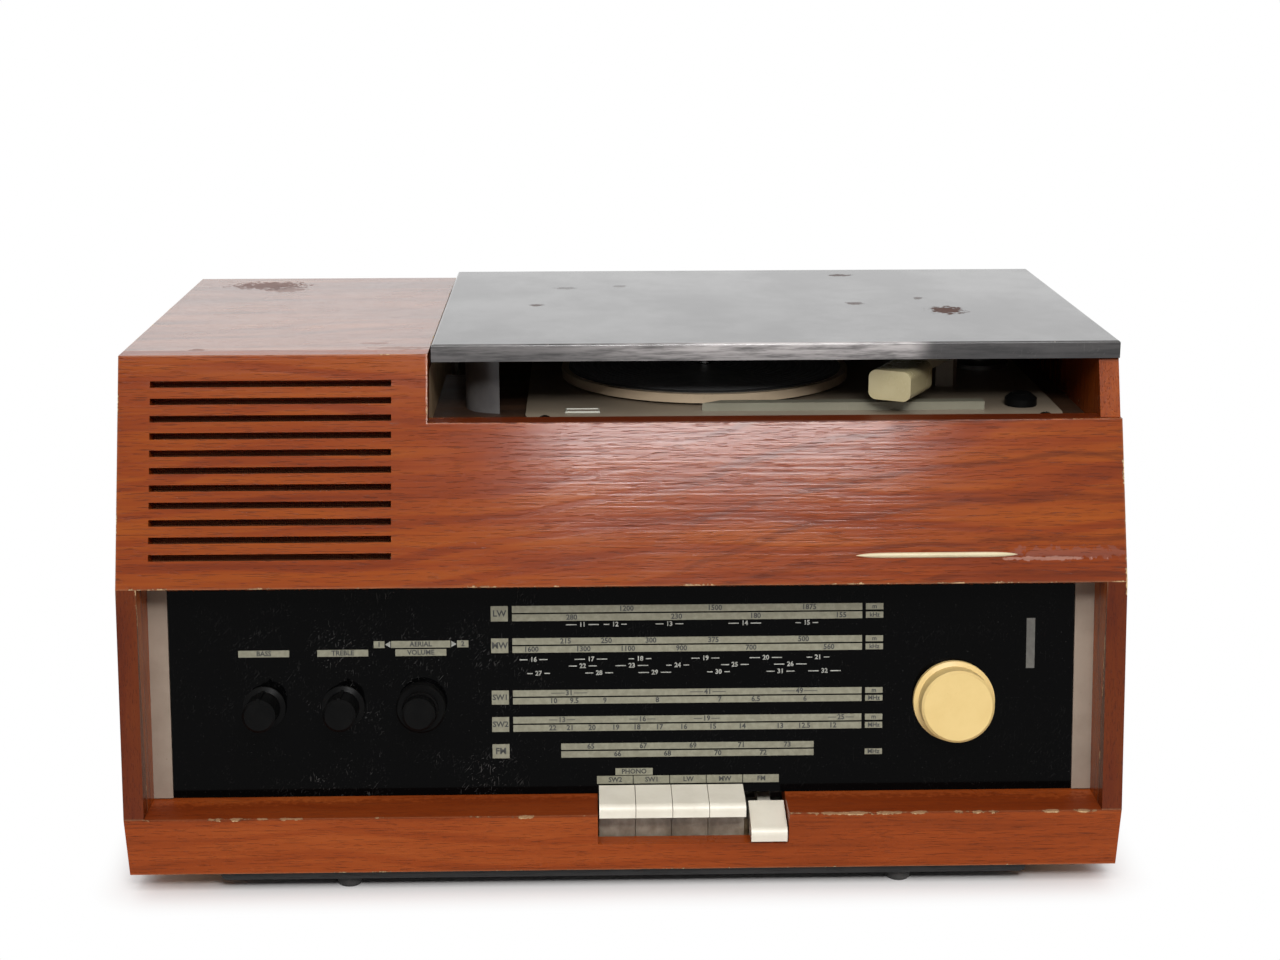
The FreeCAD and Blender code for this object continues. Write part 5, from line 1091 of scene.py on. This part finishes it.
def screw_head(centre, normal, radius, angle):
    """Slotted dome head, with X across it: height = dome * (1 - r^2), lowered where the slot crosses it."""
    r = np.linspace(0, 1, SCREW_GRID[0])[:, None]
    a = np.linspace(0, 2 * pi, SCREW_GRID[1], endpoint=False)[None, :]
    x, y = r * np.cos(a), r * np.sin(a)
    slot = (np.abs(x * sin(angle) - y * cos(angle)) < SLOT_HALF) & (r < SLOT_END)
    height = radius * (1 - r ** 2) * (SCREW_DOME - np.where(slot, SLOT_DEEP, 0))
    across = (1, 0, 0)
    sides = np.array([across, np.cross(normal, across), normal])
    local = np.stack(np.broadcast_arrays(x * radius, y * radius, height + SEAT_GAP), axis=-1)
    return (local @ sides + np.array(centre)).reshape(-1, 3)


def add_screws(name, places, normal, radius):
    """A set of screw heads as one piece, each turned a little differently."""
    heads = []
    for index, centre in enumerate(places):
        heads.append(screw_head(centre, normal, radius, FIRST_TURN + index * NEXT_TURN))
    quads = grid_faces(*SCREW_GRID, True)
    faces = [quads + index * len(head) for index, head in enumerate(heads)]
    steel = "bright_steel"
    put_piece(name, np.concatenate(heads), np.concatenate(faces), FINISHES[steel], True)


def add_cover_screws():
    """Screws along the rear cover's edges."""
    low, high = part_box("rear_cover")
    inset = 9 * MM
    across = np.linspace(low.x + inset, high.x - inset, 4)
    places = [(x, high.y, z) for z in (low.z + inset, high.z - inset) for x in across]
    add_screws("cover_screws", places, (0, 1, 0), 3.6 * MM)


def add_deck_screws():
    """Screws near the deck plate's corners."""
    low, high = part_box("deck_plate")
    inset = 12 * MM
    across, deep = (low.x + inset, high.x - inset), (low.y + inset, high.y - inset)
    places = [(x, y, DECK_TOP) for y in deep for x in across]
    add_screws("deck_screws", places, (0, 0, 1), 4 * MM)


def add_blank_plate():
    """Bare plate on the deck: a pale raised frame round a dark blank field, as one stepped section.

    The section goes outside foot, outside top, inside top, inside foot, and follows an oblong's corners.
    """
    centre_x, centre_y, half_long, half_wide = -24 * MM, -80 * MM, 10.7 * MM, 5 * MM
    border, bevel, rise, field_rise, field_gap = 1.3 * MM, 0.25 * MM, 0.9 * MM, 0.3 * MM, 0.02 * MM
    corner = np.array([(-1, -1), (1, -1), (1, 1), (-1, 1)])
    inset = np.array([0, bevel, border - bevel, border])
    height = np.array([SEAT_GAP, rise, rise, field_rise])
    x = centre_x + corner[None, :, 0] * (half_long - inset[:, None])
    y = centre_y + corner[None, :, 1] * (half_wide - inset[:, None])
    z = DECK_TOP + height[:, None] + 0 * x
    points = np.stack([x, y, z], axis=-1)
    put_piece("deck_plate_frame", points, grid_faces(4, 4, True), FINISHES["bar_enamel"])
    field = points[3] + (0, 0, field_gap)
    put_piece("deck_plate_field", field, [(0, 1, 2, 3)], FINISHES["grey_strip"])


add_panel_trim()
add_cover_screws()
add_deck_screws()
add_blank_plate()

# Floor, light and camera

FLOOR_NEAR = -0.4
FLOOR_FAR = 1.4
FLOOR_HALF = 1.6
FLOOR_GRID = (9, 9)
FOOTPRINT = (0.285, 0.155, 0.0)
SHADOW_REACH = 0.045
WHITE = (1, 1, 1)
DIM_FRONT = (0.06, 0.06, 0.062)
BACK_START, BACK_END = -0.5, 0.45


def looked_at(tree):
    """1 for rays from the camera and for those it sees in metal and glass, else 0."""
    seen = node(tree, "LightPath").outputs
    mirrored = larger(tree, seen["Is Glossy Ray"], seen["Is Transmission Ray"])
    return larger(tree, seen["Is Camera Ray"], mirrored)


def add_floor():
    """White floor: takes the object's shadow, and turns to plain white where looked at away from it.

    The share of white grows with the distance from the object's oblong footprint.
    """
    material = bpy.data.materials.new("studio_floor")
    tree = bare_tree(material)
    matt = node(tree, "BsdfDiffuse", {"Color": (0.9, 0.88, 0.87)})
    white = node(tree, "Emission", {"Color": WHITE, "Strength": 1.0})
    where = node(tree, "TexCoord").outputs["Object"]
    beyond = vectors(tree, "SUBTRACT", vectors(tree, "ABSOLUTE", where), FOOTPRINT)
    away = vectors(tree, "LENGTH", vectors(tree, "MAXIMUM", beyond, (0, 0, 0)), output=1)
    share = times(tree, looked_at(tree), between(tree, away, 0.0, SHADOW_REACH))
    shown = node(tree, "MixShader", {0: share, 1: matt.outputs[0], 2: white.outputs[0]})
    node(tree, "OutputMaterial", {"Surface": shown.outputs[0]})
    across = np.linspace(-FLOOR_HALF, FLOOR_HALF, FLOOR_GRID[1])
    x, y = np.meshgrid(across, np.linspace(FLOOR_NEAR, FLOOR_FAR, FLOOR_GRID[0]))
    points = np.stack([x, y, 0 * x], axis=-1)
    floor = make_object("studio_floor", points, grid_faces(*FLOOR_GRID), material)


def set_world():
    """Surroundings that are bright behind the object, dim in front, and white where looked at."""
    world = bpy.data.worlds.new("studio")
    tree = bare_tree(world)
    where = node(tree, "TexCoord").outputs["Generated"]
    back = between(tree, axes(tree, where)["Y"], BACK_START, BACK_END)
    colour = blend(tree, back, DIM_FRONT, WHITE)
    colour = blend(tree, looked_at(tree), colour, WHITE)
    ground = node(tree, "Background", {"Color": colour, "Strength": 1.0})
    node(tree, "OutputWorld", {"Surface": ground.outputs[0]})
    bpy.context.scene.world = world


def add_softbox(name, place, target, size, watts):
    """Oblong area lamp that faces a point."""
    lamp = bpy.data.lights.new(name, "AREA")
    lamp.shape = "RECTANGLE"
    lamp.size, lamp.size_y = size
    lamp.energy = watts
    holder = bpy.data.objects.new(name, lamp)
    holder.location = place
    holder.rotation_euler = (Vector(target) - Vector(place)).to_track_quat("-Z", "Y").to_euler()
    bpy.context.scene.collection.objects.link(holder)


def add_camera():
    """Camera at the photograph's place and angle."""
    lens = bpy.data.cameras.new("photo_camera")
    lens.sensor_width = 36.0
    lens.lens = 60.2
    camera = bpy.data.objects.new("photo_camera", lens)
    camera.location = (-0.0194, -1.3733, 0.5673)
    camera.rotation_euler = (radians(75.625), radians(0.09), radians(-1.39))
    bpy.context.scene.collection.objects.link(camera)
    bpy.context.scene.camera = camera


add_floor()
set_world()
add_softbox("main_softbox", (0.0, -1.4, 1.6), (0, 0, 0.15), (1.5, 0.9), 22)
add_softbox("panel_softbox", (0.165, -1.62, 1.115), (0.03, -0.13, 0.26), (0.5, 0.24), 13)
add_camera()
bpy.context.scene.view_settings.view_transform = "Standard"
